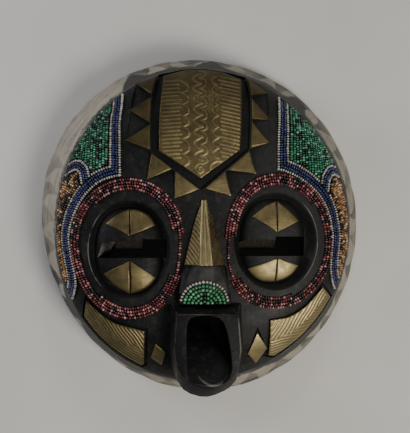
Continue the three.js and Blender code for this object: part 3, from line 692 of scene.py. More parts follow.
def waxed_black_wood():
    """Stained hardwood, waxed: near black with a satin sheen, and grey-brown wear and painted highlight on
    edges.
    """
    material, tree, shader, place = new_material("waxed black hardwood")
    parts = centred_parts(tree, place)
    patches = add(tree, NOISE, {"Vector": place, "Scale": per_mm(24), "Detail": 6.0, "Roughness": 0.6})
    long_grain = add(tree, MAPPING, {"Vector": place, "Scale": [per_mm(2.2), per_mm(20), per_mm(6)]})
    grain = add(tree, NOISE, {"Vector": long_grain, "Scale": 1.0, "Detail": 4.0})
    base = add(tree, RAMP, {"Fac": patches}, [(0.3, "#0a0b0b"), (0.52, "#111213"), (0.72, "#1a1b1b")])
    scuffs = add(tree, NOISE, {"Vector": place, "Scale": per_mm(7), "Detail": 8.0, "Roughness": 0.7})
    rubbed = add(tree, RANGE, {"Value": scuffs, "From Min": 0.52, "From Max": 0.68, "To Max": 0.6})
    # Painted light: the right half of the face is mixed towards a lighter grey, as if lit more from the
    # right.
    grime_and_painted_light = add(tree, RANGE, {"Value": parts["X"], "From Min": 0.0, "From Max": 0.06, "To Max": 0.28})
    # Painted shade: points that lie deep under the dome, and deep in the mouth, are painted blacker.
    sunk = add(tree, ATTRIBUTE, attribute_name="sunk").outputs["Fac"]
    deep = add(tree, RANGE, {"Value": sunk, "From Min": 0.4, "From Max": 2.6, "To Max": 0.72})
    # Thin pale lines on the face's edge, one side of each socket and the lip: partly rubbed wear, partly
    # painted highlight.
    edge = add(tree, MATH, {0: parts["Z"], 1: 0.001 * (WALL_HEIGHT + 0.4), 2: 0.0007}, operation="COMPARE")
    for eye in (LEFT, RIGHT):
        share = oval_share(tree, parts["X"], parts["Y"], eye["socket"], eye["socket_half"])
        ring = add(tree, MATH, {0: share, 1: 1.016, 2: 0.011}, operation="COMPARE")
        start, full = eye["wear_and_highlight_side"]
        side = add(tree, RANGE, {"Value": parts["X"], "From Min": start, "From Max": full})
        edge = add(tree, MATH, {0: ring, 1: side, 2: edge}, operation="MULTIPLY_ADD")
    share = oval_share(tree, parts["X"], parts["Y"], *LIP_OVAL)
    lip = add(tree, MATH, {0: share, 1: 1.0, 2: 0.035}, operation="COMPARE")
    low = add(tree, RANGE, {"Value": parts["Y"], "From Min": -0.134, "From Max": -0.138})
    edge = add(tree, MATH, {0: lip, 1: low, 2: edge}, operation="MULTIPLY_ADD")
    # The worn values add pale box edges (wear and painted highlight), a paler nose and a painted-light slit
    # end.
    worn = add(tree, ATTRIBUTE, attribute_name="worn").outputs["Fac"]
    edge = add(tree, MATH, {0: edge, 1: worn}, operation="MAXIMUM", use_clamp=True)
    broken = add(tree, RANGE, {"Value": patches, "From Min": 0.38, "From Max": 0.58, "To Max": 0.85})
    lines = add(tree, MATH, {0: edge, 1: broken}, operation="MULTIPLY")
    for share, code in ((rubbed, "#35322d"), (grime_and_painted_light, "#3a3a37"), (deep, "#0a0a0b"), (lines, "#6f6c66")):
        base = add(tree, MIX, {"Factor": share, 6: base, 7: code}, data_type="RGBA").outputs[2]
    spread = {"From Min": 0.3, "From Max": 0.7, "To Min": 0.42, "To Max": 0.64}
    rough = add(tree, RANGE, {"Value": patches, **spread}).outputs[0]
    shader.inputs["Specular IOR Level"].default_value = 0.16
    pits = add(tree, NOISE, {"Vector": place, "Scale": per_mm(4), "Detail": 6.0})
    uneven = add(tree, MATH, {0: grain, 1: 0.4, 2: pits}, operation="MULTIPLY_ADD")
    finish_surface(tree, shader, base, rough, uneven, 0.45)
    return material


print("half-axes of the lip's pale oval, in millimetres:", LIP_OVAL[1])

# %% [markdown]
# The side wall has a chalky cream paint and dark triangles. Each triangle stands on the back rim
# with its point at the edge of the face, so the cream is left as leaves that hang down from the
# edge. The dark paint is thin: grey in most places, black in a few, and nearly gone on the upper
# left. Along the edge of the face the black of the front runs over onto the wall.

# %% Painted wall
TEETH, TOOTH_START = 33, 0.35
INK_BY_TURN = [
    (0.0, "#b0b0b0"), (0.07, "#f0f0f0"), (0.15, "#f0f0f0"), (0.2, "#c0c0c0"), (0.32, "#e8e8e8"),
    (0.4, "#c4c4c4"), (0.5, "#d0d0d0"), (0.6, "#c4c4c4"), (0.65, "#ffffff"), (0.7, "#c0c0c0"),
    (0.82, "#e4e4e4"), (0.84, "#404040"), (0.91, "#404040"), (0.95, "#a8a8a8"),
]
RUN_OVER_BY_TURN = [
    (0.0, "#484848"), (0.065, "#707070"), (0.078, "#aaaaaa"), (0.092, "#ffffff"), (0.108, "#b0b0b0"),
    (0.128, "#ffffff"), (0.145, "#c0c0c0"), (0.18, "#b0b0b0"), (0.2, "#606060"), (0.31, "#606060"),
    (0.33, "#8c8c8c"), (0.41, "#8c8c8c"), (0.43, "#505050"), (0.628, "#585858"), (0.639, "#fafafa"),
    (0.658, "#707070"), (0.68, "#888888"), (0.727, "#888888"), (0.738, "#f4f4f4"), (0.757, "#888888"),
    (0.79, "#909090"), (0.806, "#787878"), (0.822, "#e6e6e6"), (0.838, "#505050"), (1.0, "#444444"),
]


def painted_wall():
    """Chalk paint brushed on wood: matt cream with thin dark triangles, streaked along the rim."""
    material, tree, shader, place = new_material("cream chalk paint on hardwood")
    parts = centred_parts(tree, place)
    angle = add(tree, MATH, {0: parts["Y"], 1: parts["X"]}, operation="ARCTAN2")
    height = add(tree, MATH, {0: parts["Z"], 1: 1000 / WALL_HEIGHT}, operation="MULTIPLY")
    across = add(tree, MATH, {0: angle, 1: 150 / 40}, operation="MULTIPLY")
    along = add(tree, MATH, {0: parts["Z"], 1: per_mm(3.2)}, operation="MULTIPLY")
    round_wall = add(tree, COMBINE, {"X": across, "Z": along})
    streaks = add(tree, NOISE, {"Vector": round_wall, "Scale": 1.0, "Detail": 7.0, "Roughness": 0.62})
    cream = [(0.28, "#565147"), (0.45, "#8d8677"), (0.6, "#a39c8c"), (0.8, "#837c6f")]
    chalk = add(tree, RAMP, {"Fac": streaks}, cream)
    scuffs = add(tree, NOISE, {"Vector": place, "Scale": per_mm(13), "Detail": 8.0, "Roughness": 0.68})
    bare = add(tree, RANGE, {"Value": scuffs, "From Min": 0.56, "From Max": 0.7, "To Max": 0.7})
    chalk = add(tree, MIX, {"Factor": bare, 6: chalk, 7: "#4d463a"}, data_type="RGBA").outputs[2]
    wobble = add(tree, NOISE, {"Vector": place, "Scale": per_mm(60), "Detail": 1.0})
    turns = add(tree, MATH, {0: angle, 1: TEETH / (2 * math.pi), 2: TOOTH_START}, operation="MULTIPLY_ADD")
    turns = add(tree, MATH, {0: wobble, 1: 1.3, 2: turns}, operation="MULTIPLY_ADD")
    wave = add(tree, MATH, {0: turns, 1: 0.5}, operation="PINGPONG")
    tooth = add(tree, MATH, {0: wave, 1: 2.0}, operation="MULTIPLY")
    ragged = add(tree, MATH, {0: streaks, 1: 0.35, 2: height}, operation="MULTIPLY_ADD")
    ragged = add(tree, MATH, {0: ragged, 1: 0.14}, operation="SUBTRACT")
    over = add(tree, MATH, {0: tooth, 1: ragged}, operation="SUBTRACT")
    filled = add(tree, RANGE, {"Value": over, "From Min": -0.02, "From Max": 0.06})
    outline = add(tree, MATH, {0: over, 1: 0.0, 2: 0.045}, operation="COMPARE")
    turn = add(tree, MATH, {0: angle, 1: 1 / (2 * math.pi), 2: 0.5}, operation="MULTIPLY_ADD")
    strength = add(tree, RAMP, {"Fac": turn}, INK_BY_TURN).outputs[0]
    cloud = add(tree, NOISE, {"Vector": place, "Scale": per_mm(30), "Detail": 2.0})
    spread = {"From Min": 0.4, "From Max": 0.62, "To Min": 0.6, "To Max": 1.25}
    patchy = add(tree, RANGE, {"Value": cloud, **spread})
    thin = add(tree, MATH, {0: strength, 1: patchy}, operation="MULTIPLY")
    drawn_ink = add(tree, MATH, {0: outline, 1: 0.4, 2: filled}, operation="MULTIPLY_ADD")
    ink = add(tree, MATH, {0: drawn_ink, 1: thin}, operation="MULTIPLY")
    run_over = add(tree, RAMP, {"Fac": turn}, RUN_OVER_BY_TURN).outputs[0]
    scuffed = add(tree, MATH, {0: scuffs, 1: 0.5, 2: height}, operation="MULTIPLY_ADD")
    reached = add(tree, MATH, {0: scuffed, 1: run_over}, operation="ADD")
    smear = add(tree, RANGE, {"Value": reached, "From Min": 1.2, "From Max": 1.3, "To Max": 0.95})
    dark = add(tree, MATH, {0: ink, 1: smear}, operation="MAXIMUM", use_clamp=True)
    base = add(tree, MIX, {"Factor": dark, 6: chalk, 7: "#17191a"}, data_type="RGBA").outputs[2]
    rough = add(tree, RANGE, {"Value": scuffs, "To Min": 0.5, "To Max": 0.75}).outputs[0]
    uneven = add(tree, MATH, {0: streaks, 1: scuffs}, operation="ADD")
    finish_surface(tree, shader, base, rough, uneven, 0.4)
    return material


print("teeth round the wall:", TEETH)

# %% [markdown]
# Inside the hollow, and on part of the upper wall of each eye slit, the wood was never stained.

# %% Bare wood


def bare_brown_wood():
    """Unfinished wood: warm brown and dry, with grain along the height of the face."""
    material, tree, shader, place = new_material("bare brown hardwood")
    long_grain = add(tree, MAPPING, {"Vector": place, "Scale": [per_mm(2.6), per_mm(26), per_mm(9)]})
    grain = add(tree, NOISE, {"Vector": long_grain, "Scale": 1.0, "Detail": 6.0})
    browns = [(0.3, "#18120a"), (0.55, "#292015"), (0.75, "#382c1d")]
    base = add(tree, RAMP, {"Fac": grain}, browns).outputs[0]
    rough = add(tree, RANGE, {"Value": grain, "To Min": 0.7, "To Max": 0.9}).outputs[0]
    finish_surface(tree, shader, base, rough, grain, 0.4)
    return material


woods = [waxed_black_wood(), painted_wall(), bare_brown_wood()]
print("woods and their nodes:", {wood.name: len(wood.node_tree.nodes) for wood in woods})

# %% [markdown]
# Three materials share the carved mesh, face by face: painted wall, bare wood inside the hollow and
# on part of each slit's upper wall, and black everywhere else.

# %% Which wood goes where
mask.data.materials.clear()
for wood in woods:
    mask.data.materials.append(wood)


def read_vectors(items, field):
    values = np.empty(len(items) * 3)
    items.foreach_get(field, values)
    return values.reshape(-1, 3)


def within(values, low, high):
    return (values > low) & (values < high)


def in_tube(x, y, margin=0.6):
    tube_x, tube_y = np.transpose(OPENING)
    beside = within(x, tube_x.min() - margin, tube_x.max() + margin)
    return beside & within(y, tube_y.min() - margin, tube_y.max() + margin)


x, y, z = (read_vectors(mask.data.polygons, "center") * 1000 - ORIGIN).T
normals = read_vectors(mask.data.polygons, "normal")
angle, radius = np.arctan2(y, x), np.hypot(x, y)
edge, rim = wavy(FACE_RADIUS, FACE_WAVES, angle), wavy(RIM_RADIUS, RIM_WAVES, angle)
wall_radius = rim + (edge - rim) * np.clip(z / WALL_HEIGHT, 0, 1) ** WALL_POWER
outside = (radius > wall_radius - 3.0) & within(z, 0.02, WALL_HEIGHT - 0.01)
in_mouth = (np.abs(x) < 36) & (y < -118) & (radius > wall_radius + 0.3)
TUBE_LOW_Z, SLIT_WALL_Z, CEILING_UNDER_FACE, LIP_Z = 50, 55, 10.8, 103
mouth_tube = in_tube(x, y) & (z > TUBE_LOW_Z)
under_face = (radius < wall_radius - 4) & (z < face_height(x, y) - CEILING_UNDER_FACE)
inside = (z < 0.05) | (under_face & ~mouth_tube)
bare_slit = np.zeros_like(inside)
for eye in (LEFT, RIGHT):
    high_y, low_y = eye["slit_y"]
    in_slit = within(x, *eye["slit_x"]) & within(y, low_y - 0.5, high_y + 0.5) & (z > SLIT_WALL_Z)
    inside &= ~in_slit
    upper_wall = (normals[:, 1] < -0.5) & (np.abs(normals[:, 0]) < 0.15)
    bare_slit |= in_slit & within(x, *eye["bare"]) & upper_wall
index = np.where(inside | bare_slit, 2, np.where(outside & ~in_mouth, 1, 0))
mask.data.polygons.foreach_set("material_index", index.astype(np.int32))
print("faces of black, painted and bare wood:", [int((index == k).sum()) for k in range(3)])

# %% [markdown]
# The black wood reads two more values from the mesh: how deep each point lies under the dome,
# which it paints as shade, and how worn each face is. The mouth box's edges get pale lines, partly
# wear by hands and partly painted highlight; the nose is a little paler; and the cut at the left end
# of the left slit is painted paler, as painted light.

# %% Depth for painted shade, and pale marks
BOX_SIDES, BOX_TOP = {"x": (25, 36), "y": (-146, -80), "z": 84}, {"x": (-34, 34), "y": (-94, -74), "z": 80}
NOSE_PALE_AREA = {"x": (-26.3, 21.7), "y": (-62, 24)}
NARROW_FACE, BOX_WEAR_AND_HIGHLIGHT, NOSE_PALENESS, MOUTH_SHADE_MM = 60e-6, 0.9, 0.22, 20
px, py, pz = (read_vectors(mask.data.vertices, "co") * 1000 - ORIGIN).T
on_top = np.hypot(px, py) < 0.985 * wavy(FACE_RADIUS, FACE_WAVES, np.arctan2(py, px))
# Painted shade: this depth, under the dome and below the lip inside the mouth, darkens the black wood.
sunk = mask.data.attributes.new("sunk", "FLOAT", "POINT")
under_dome = np.where(on_top, face_height(px, py) - pz, 0)
depth = np.where(in_tube(px, py) & (pz > TUBE_LOW_Z), (LIP_Z - pz) / MOUTH_SHADE_MM, under_dome)
sunk.data.foreach_set("value", np.clip(depth, 0, 12))
# Paleness per face: wear and painted highlight on the mouth box's edges, a paler nose, painted light at the
# slit's end.
worn = mask.data.attributes.new("worn", "FLOAT", "FACE")
side_tilt, up_tilt, front_tilt = normals.T
slanted = within(front_tilt, 0.35, 0.93)
rounded = within(np.abs(x), *BOX_SIDES["x"]) & within(y, *BOX_SIDES["y"]) & (z > BOX_SIDES["z"]) & slanted
narrow = np.array([face.area for face in mask.data.polygons]) < NARROW_FACE
box_top = narrow & within(x, *BOX_TOP["x"]) & within(y, *BOX_TOP["y"]) & (z > BOX_TOP["z"])
box_top &= (up_tilt > 0.3) & slanted
slit_end = within(x, -99, LEFT["bare"][0] - 0.2) & within(y, *LEFT["slit_y"][::-1]) & (z > 60)
slit_end &= ((side_tilt > 0.2) | (up_tilt < -0.5)) & (up_tilt < -0.2)
nose = within(x, *NOSE_PALE_AREA["x"]) & within(y, *NOSE_PALE_AREA["y"]) & (z > face_height(x, y) + RIDGE_SUNK)
nose &= front_tilt > 0.1
shares = np.where(nose, NOSE_PALENESS, np.where(slit_end, 1.0, 0.0))
worn.data.foreach_set("value", np.where((rounded | box_top) & ~mouth_tube, BOX_WEAR_AND_HIGHLIGHT, shares))
worn_faces = [int(part.sum()) for part in (rounded, box_top, nose)]
print("worn faces on the box's edges, its top edge and the nose:", worn_faces)
mask.data.update()

# %% [markdown]
# ## Brass sheets
# The plates are thin brass sheet, pressed with a blunt tool over a soft block and fixed on the
# wood. Each is a grid of points over the plate's outline, lifted along the face's normal by its
# thickness, by the pressed ridges and by gentle dents. The ridge height is also stored on the
# points, because tarnish gathers in the low lines and the high lines are rubbed bright.

# %% Sheet and relief helpers
BORDER_DROP = 0.35


def dents(x, y, phase):
    """Soft waves of hand-beaten sheet, within a quarter of a millimetre."""
    return 0.12 * np.sin(x / 5.1 + phase) * np.sin(y / 6.3 + 2 * phase) + 0.12 * np.sin((x + y) / 11 + phase)


def ridge(distance, half_width):
    return np.exp(-((distance / half_width) ** 2))


def sheet(name, x, y, place, relief, height, phase=0.0):
    rows, count = x.shape
    border = np.zeros_like(x)
    border[[0, -1], :] = 1
    border[:, [0, -1]] = 1
    raised = relief * (1 - border)
    lift = GAP + BRASS - BORDER_DROP * border + height * raised + dents(x, y, phase) * (1 - border)
    top = place(x, y, lift).reshape(-1, 3)
    ring = [(0, c) for c in range(count)] + [(r, count - 1) for r in range(1, rows)]
    ring += [(rows - 1, c) for c in range(count - 2, -1, -1)] + [(r, 0) for r in range(rows - 2, 0, -1)]
    ring = [r * count + c for r, c in ring]
    under = place(x, y, np.full_like(x, GAP)).reshape(-1, 3)[ring]
    points = np.concatenate([top, under, under.mean(0)[None]])
    faces = [
        (r * count + c, r * count + c + 1, (r + 1) * count + c + 1, (r + 1) * count + c)
        for r in range(rows - 1)
        for c in range(count - 1)
    ]
    base = len(top)
    for i in range(len(ring)):
        j = (i + 1) % len(ring)
        faces.append((ring[i], base + i, base + j, ring[j]))
        faces.append((base + i, base + len(ring), base + j))
    thing = make_object(name, points, faces)
    store = thing.data.attributes.new("relief", "FLOAT", "POINT")
    store.data.foreach_set("value", np.concatenate([raised.ravel(), np.zeros(len(under) + 1)]))
    outward(thing)
    thing.data.set_sharp_from_angle(angle=math.radians(50))
    return thing


def sample(curve, count):
    """Evenly spaced points along a polyline."""
    curve = np.asarray(curve, float)
    steps = np.r_[0, np.cumsum(np.linalg.norm(np.diff(curve, axis=0), axis=1))]
    at = np.linspace(0, steps[-1], count)
    return np.stack([np.interp(at, steps, curve[:, k]) for k in range(curve.shape[1])], -1)


def between_curves(low, high, rows, count):
    """A grid of plan points ruled between two curves, with its two parameters."""
    low, high = sample(low, count), sample(high, count)
    v = np.linspace(0, 1, rows)[:, None, None]
    grid = low * (1 - v) + high * v
    u = np.tile(np.linspace(0, 1, count), (rows, 1))
    return grid[..., 0], grid[..., 1], u, np.tile(v[..., 0], (1, count))


def fan(curve, corner, rows, count):
    tiny = np.tile(np.asarray(corner, float), (2, 1)) + [[0, 0], [1e-4, 0]]
    return between_curves(tiny, curve, rows, count)


def drawn(x, y, lines, half_width):
    """Relief of pressed lines: high on the lines, falling off to each side."""
    flat = np.stack([x.ravel(), y.ravel()], -1)
    nearest = np.full(len(flat), 1e9)
    for line in lines:
        line = np.asarray(line, float)
        for a, b in zip(line, line[1:]):
            side = b - a
            along = np.clip((flat - a) @ side / max(1e-9, side @ side), 0, 1)
            nearest = np.minimum(nearest, np.sum((flat - a - along[:, None] * side) ** 2, axis=1))
    return ridge(np.sqrt(nearest), half_width).reshape(x.shape)


def fade_to_edges(u, v, margin_u, margin_v):
    """One inside a plate, falling to nothing at its four edges."""
    near_u, near_v = np.minimum(u, 1 - u), np.minimum(v, 1 - v)
    return np.clip(near_u / margin_u, 0, 1) * np.clip(near_v / margin_v, 0, 1)


print("ridge profile:", np.round(ridge(np.array([0, 0.4, 0.8]), 0.7), 2))

# %% [markdown]
# Old brass sheet is a dull yellow: a metal with its default index, rubbed bright on the ridges,
# brown with tarnish between them. Fine scratches keep its shine soft. The forehead and the left
# side are painted darker, as painted shade, and what is low on the face, but not on the left, is
# painted brighter, as painted light.

# %% Brass material


def aged_brass():
    """Sheet brass, hand beaten, tarnished: olive yellow with a soft, broken shine."""
    material, tree, shader, place = new_material("aged brass sheet")
    relief = add(tree, ATTRIBUTE, attribute_name="relief").outputs["Fac"]
    blotches = add(tree, NOISE, {"Vector": place, "Scale": per_mm(13), "Detail": 8.0, "Roughness": 0.66})
    metal = add(tree, RAMP, {"Fac": blotches}, [(0.3, "#665b42"), (0.5, "#827552"), (0.72, "#9a8c64")])
    between = add(tree, RANGE, {"Value": relief, "To Min": 0.35, "To Max": 0.0})
    on_ridge = add(tree, RANGE, {"Value": relief, "From Min": 0.35, "To Max": 0.4})
    parts = add(tree, SEPARATE, {"Vector": place}).outputs
    # Painted shade: the forehead and the left side are mixed towards dark brown.
    brow = add(tree, RANGE, {"Value": parts["Y"], "From Min": 0.02, "From Max": 0.09, "To Max": 0.52})
    left = add(tree, RANGE, {"Value": parts["X"], "From Min": -0.02, "From Max": -0.08, "To Max": 0.36})
    painted_shade_brow_left = add(tree, MATH, {0: brow, 1: left}, operation="ADD", use_clamp=True)
    # Painted light: low on the face, but not on the left, the brass is mixed towards pale yellow.
    low = add(tree, RANGE, {"Value": parts["Y"], "From Min": 0.0, "From Max": -0.04, "To Max": 0.32})
    twice_left = add(tree, MATH, {0: left, 1: 2.0}, operation="MULTIPLY")
    painted_light_low = add(tree, MATH, {0: low, 1: twice_left}, operation="SUBTRACT", use_clamp=True)
    layers = ((between, "#443a28"), (on_ridge, "#b3a67e"), (painted_shade_brow_left, "#2c2517"), (painted_light_low, "#c3b184"))
    for share, code in layers:
        metal = add(tree, MIX, {"Factor": share, 6: metal, 7: code}, data_type="RGBA").outputs[2]
    shader.inputs["Metallic"].default_value = 1.0
    fine = add(tree, NOISE, {"Vector": place, "Scale": per_mm(6), "Detail": 6.0})
    spread = {"From Min": 0.3, "From Max": 0.7, "To Min": 0.42, "To Max": 0.62}
    rough = add(tree, RANGE, {"Value": fine, **spread}).outputs[0]
    rubbing = add(tree, MAPPING, {"Vector": place, "Scale": [per_mm(8), per_mm(1.1), per_mm(4)]})
    scratches = add(tree, NOISE, {"Vector": rubbing, "Scale": 1.0, "Detail": 4.0})
    uneven = add(tree, MATH, {0: scratches, 1: fine}, operation="ADD")
    finish_surface(tree, shader, metal, rough, uneven, 0.14)
    return material


brass = aged_brass()
print("brass nodes:", len(brass.node_tree.nodes))

# %% [markdown]
# ## The forehead shield
# A five-sided shield with a rounded top. Down its middle run two rows of scallops whose points
# interlock. To the left and right of them is one more row each, and short bars run from there to
# the edges. At the point of the shield the rows end in a curl and a hook.

# %% Forehead plate


def finish_piece(thing, material, node_names):
    thing.data.materials.clear()
    thing.data.materials.append(material)
    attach(thing, "root")
    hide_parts(*node_names)


def count_named(start):
    return sum(thing.name.startswith(start) for thing in bpy.data.objects)


SCALLOP = [(0.0, 0.0), (0.1, 0.36), (0.25, 0.78), (0.5, 1.0), (0.75, 0.86), (0.92, 0.45), (1.0, 0.0)]


def scallops(point_x, bulge_x, levels):
    """A row of arcs that bulge to one side, from point to point down the plate."""
    line = []
    for high, low in zip(levels, levels[1:]):
        line += [[point_x + (bulge_x - point_x) * out, high + (low - high) * down] for down, out in SCALLOP]
    return sample(line, 6 * len(line))


def curl(centre, radius, turns, start, points=26):
    """A spiral from a radius in to the middle."""
    angle = np.radians(start) + np.linspace(0, 2 * np.pi * turns, points)
    reach = np.linspace(radius, 0.9, points)
    return np.stack([centre[0] + reach * np.cos(angle), centre[1] + reach * np.sin(angle)], -1)


def shield_lines():
    lines = [
        scallops(-2.6, -10.6, [133, 124, 115.2, 105.9, 95.7, 84.9, 75.9, 64.2, 54.5]),
        scallops(-4.9, 1.4, [136, 129.5, 119.5, 111.5, 101.6, 90.2, 80.8, 69.1, 58.8, 51.5]),
        scallops(-21.8, -14.6, [126, 115.2, 104.7, 94.4, 84.9, 74.1, 60.5, 49.5]),
        scallops(11.4, 6.3, [130.4, 122.5, 113.8, 105, 95.3, 84.9, 75.4, 66, 56.5]),
        curl([-5.2, 47.2], 5.2, 1.35, 70),
        [[3.8, 45.5], [3.9, 49], [5.5, 52.2], [9.0, 54.0], [14, 54.3]],
    ]
    for level in np.arange(57, 128, 3.45):
        lines.append([[-41.5, level - 0.9], [-23.2 + 1.2 * math.sin(level), level + 0.5]])
    for level in np.arange(57, 131, 3.4):
        lines.append([[13.4 + 1.2 * math.sin(level), level + 2.2], [32.5, level - 2.0]])
    return lines


shield = outset(shield_outline, -0.4)
x, y, u, v = between_curves(shield[[8, 7, 6]], shield[:5], 176, 150)
x = x + (-1.7 * (1 - u) + 0.4 * u) * 4 * v * (1 - v)
pressed = drawn(x, y, shield_lines(), 0.74) * fade_to_edges(u, v, 0.035, 0.025)
forehead = sheet("forehead_shield", x, y, on_face, pressed, 0.7)
finish_piece(forehead, brass, ["forehead_plate"])
print("forehead shield faces:", len(forehead.data.polygons))

# %% [markdown]
# The triangles and diamonds are plain offcuts of the same sheet. A fan from one corner to the
# opposite side fills a triangle; two curves fill a diamond.

# %% Triangles and diamonds
PLAIN_RELIEF, PLAIN_HEIGHT = 0.22, 0.1


def plain_sheet(name, node, x, y, place, phase):
    """A plate without pressed lines."""
    piece = sheet(name, x, y, place, np.full_like(x, PLAIN_RELIEF), PLAIN_HEIGHT, phase)
    finish_piece(piece, brass, [node])


for name in SIDES:
    for number, sizes in enumerate(TRIANGLES[name], 1):
        a, b, c = triangle_corners(name, sizes)
        x, y, u, v = fan([a, b], c, 18, 18)
        code = f"triangle_{name}_{number}"
        plain_sheet(f"brass_{code}", f"forehead_{code}", x, y, on_face, number * 1.7)
    a, b, c, d = DIAMONDS[name]
    x, y, u, v = between_curves([a, b], [d, c], 16, 16)
    plain_sheet(f"brass_diamond_{name}", f"cheek_diamond_{name}", x, y, on_face, 4.0)
print("small plates:", count_named("brass_"))

# %% [markdown]
# ## Eye plates
# Four quarters of brass lie on each eye's bulge. Their straight sides run along a narrow upright
# line of wood, their far sides are slightly bowed, and they come to a point by the slit. A fan
# from that point to the bowed side fills each quarter.

# %% Eye plates
PLATE_GAP = 0.55
EYE_PLATES = {
    "left": {
        "upper": {
            "tip": [-67.8, -12.0], "peak": [-67.8, 10.8],
            -1: [-88.6, -1.7], 1: [-45.6, -3.2], "bow": [1.5, 4.2],
        },
        "lower": {
            "tip": [-67.8, -34.4], "peak": [-67.4, -63.4],
            -1: [-90.6, -45.6], 1: [-45.4, -49.4], "bow": [1.8, 2.8],
        },
    },
    "right": {
        "upper": {
            "tip": [63.7, -8.6], "peak": [63.5, 18.2],
            -1: [41.8, 4.7], 1: [83.2, 0.9], "bow": [1.4, 0.8],
        },
        "lower": {
            "tip": [63.7, -32.7], "peak": [62.4, -52.4],
            -1: [38.0, -41.4], 1: [82.8, -38.7], "bow": [4.4, 3.0],
        },
    },
}


def eye_height(eye):
    def height(x, y):
        across = np.abs(x - eye["eye"][0]) / eye["half"][0]
        along = np.abs(y - eye["eye"][1]) / eye["half"][1]
        share = (across**BULGE_SQUARE + along**BULGE_SQUARE) ** (1 / BULGE_SQUARE)
        return face_height(x, y) + bulge_height(np.minimum(share, 0.995))

    return height


def bowed(a, b, rise, count=12):
    """A curve from a to b that bows to the left of its run."""
    a, b, t = np.array(a, float), np.array(b, float), np.linspace(0, 1, count)[:, None]
    side = np.array([a[1] - b[1], b[0] - a[0]]) / np.linalg.norm(b - a)
    return a + (b - a) * t + side * rise * 4 * t * (1 - t)


for name, eye in SIDES.items():
    on_bulge = lifted(eye_height(eye))
    for level, corners in EYE_PLATES[name].items():
        for outer in (-1, 1):
            shift = np.array([outer * PLATE_GAP, 0])
            bow = corners["bow"][outer > 0] * outer * (1 if level == "upper" else -1)
            curve = bowed(np.array(corners["peak"]) + shift, corners[outer], bow)
            x, y, u, v = fan(curve, np.array(corners["tip"]) + shift, 24, 24)
            code = f"{name}_{level}_{'outer' if outer == eye['sign'] else 'inner'}"
            plain_sheet(f"eye_brass_{code}", f"eye_plate_{code}", x, y, on_bulge, outer + len(level))
print("eye plates:", count_named("eye_brass"))

# %% [markdown]
# ## Nose plate
# One sheet folded over the ridge of the nose. Its grid runs down the nose and across it: flank,
# flat ridge, flank. Three pressed lines follow the ridge, and broad slanting strokes fill the
# flanks; the two sides together make a V.

# %% Nose plate


NOSE_LINE_HALF, RIDGE_LINE_HALF, RIDGE_LINE_SHARE, FLANK_CLEAR, FLANK_LEAST = 0.75, 1.1, 0.8, 1.0, 0.15
FLANK_STROKE = {"spacing": 4.8, "slant": 0.7, "half": 1.4, "share": 0.62, "from_ridge": 1.3, "from_edge": 0.8}


def nose_sheet(rows=110, count=89):
    shares, across = np.linspace(0.02, 1, rows), np.linspace(-1, 1, count)
    grid, stroke_grid = np.zeros((rows, count, 3)), np.zeros((rows, count))
    for r, share in enumerate(shares):
        y, half, ridge_half, foot, ridge_z = nose_section(share)
        flank = math.hypot(half - ridge_half, ridge_z - foot)
        ground = float(face_height(NOSE_X, y)) + FLANK_CLEAR
        keep = max(FLANK_LEAST, (ridge_z - ground) / (ridge_z - foot))
        side = abs(across) * (ridge_half + flank * keep)
        down = np.maximum(0, side - ridge_half) / flank
        grid[r, :, 0] = NOSE_X + np.sign(across) * (np.minimum(side, ridge_half) + down * (half - ridge_half))
        grid[r, :, 1] = y
        grid[r, :, 2] = ridge_z - down * (ridge_z - foot)
        middle_line = RIDGE_LINE_SHARE * ridge(side, RIDGE_LINE_HALF) * min(1, 4 * share)
        lines = np.maximum(ridge(side - ridge_half, NOSE_LINE_HALF), middle_line)
        past = y - FLANK_STROKE["slant"] * np.maximum(0, side - ridge_half)
        past = past % FLANK_STROKE["spacing"] - FLANK_STROKE["spacing"] / 2
        on_flank = side > ridge_half + FLANK_STROKE["from_ridge"]
        on_flank &= side < side[-1] - FLANK_STROKE["from_edge"]
        flank_strokes = FLANK_STROKE["share"] * ridge(past, FLANK_STROKE["half"]) * on_flank
        stroke_grid[r] = np.maximum(lines, flank_strokes)
    return grid, stroke_grid


def grid_place(grid):
    """Lifts a grid along its own normals."""
    along, across = np.gradient(grid, axis=0), np.gradient(grid, axis=1)
    normal = np.cross(across, along)
    normal *= np.sign(normal[..., 2:3] + 1e-9)
    normal /= np.linalg.norm(normal, axis=-1, keepdims=True)
    return lambda x, y, lift: grid + normal * np.asarray(lift)[..., None]


grid, stroke_grid = nose_sheet()
nose_brass = sheet("nose_brass", grid[..., 0], grid[..., 1], grid_place(grid), stroke_grid, 0.6, phase=2.0)
finish_piece(nose_brass, brass, ["nose_plate"])
print("nose plate faces:", len(nose_brass.data.polygons))

# %% [markdown]
# ## Cheek plates
# Each cheek plate lies between the edge of the face and the bead ring. Its upper part has steep
# pressed strokes, its lower part flatter ones, so that together they look like a feather. On the
# left plate a winding line parts the two.

# %% Cheek plates
STROKE_SPACING, STROKE_HALF = 2.3, 0.6


def strokes(x, y, degrees, spacing=STROKE_SPACING, half_width=STROKE_HALF):
    """Parallel pressed lines that run in a direction, slightly uneven as a hand makes them."""
    angle = math.radians(degrees)
    along, across = x * math.cos(angle) + y * math.sin(angle), y * math.cos(angle) - x * math.sin(angle)
    across = across + 0.32 * np.sin(along / 4.3) + 0.4 * np.sin(across / 6.9)
    return ridge((across + spacing / 2) % spacing - spacing / 2, half_width)


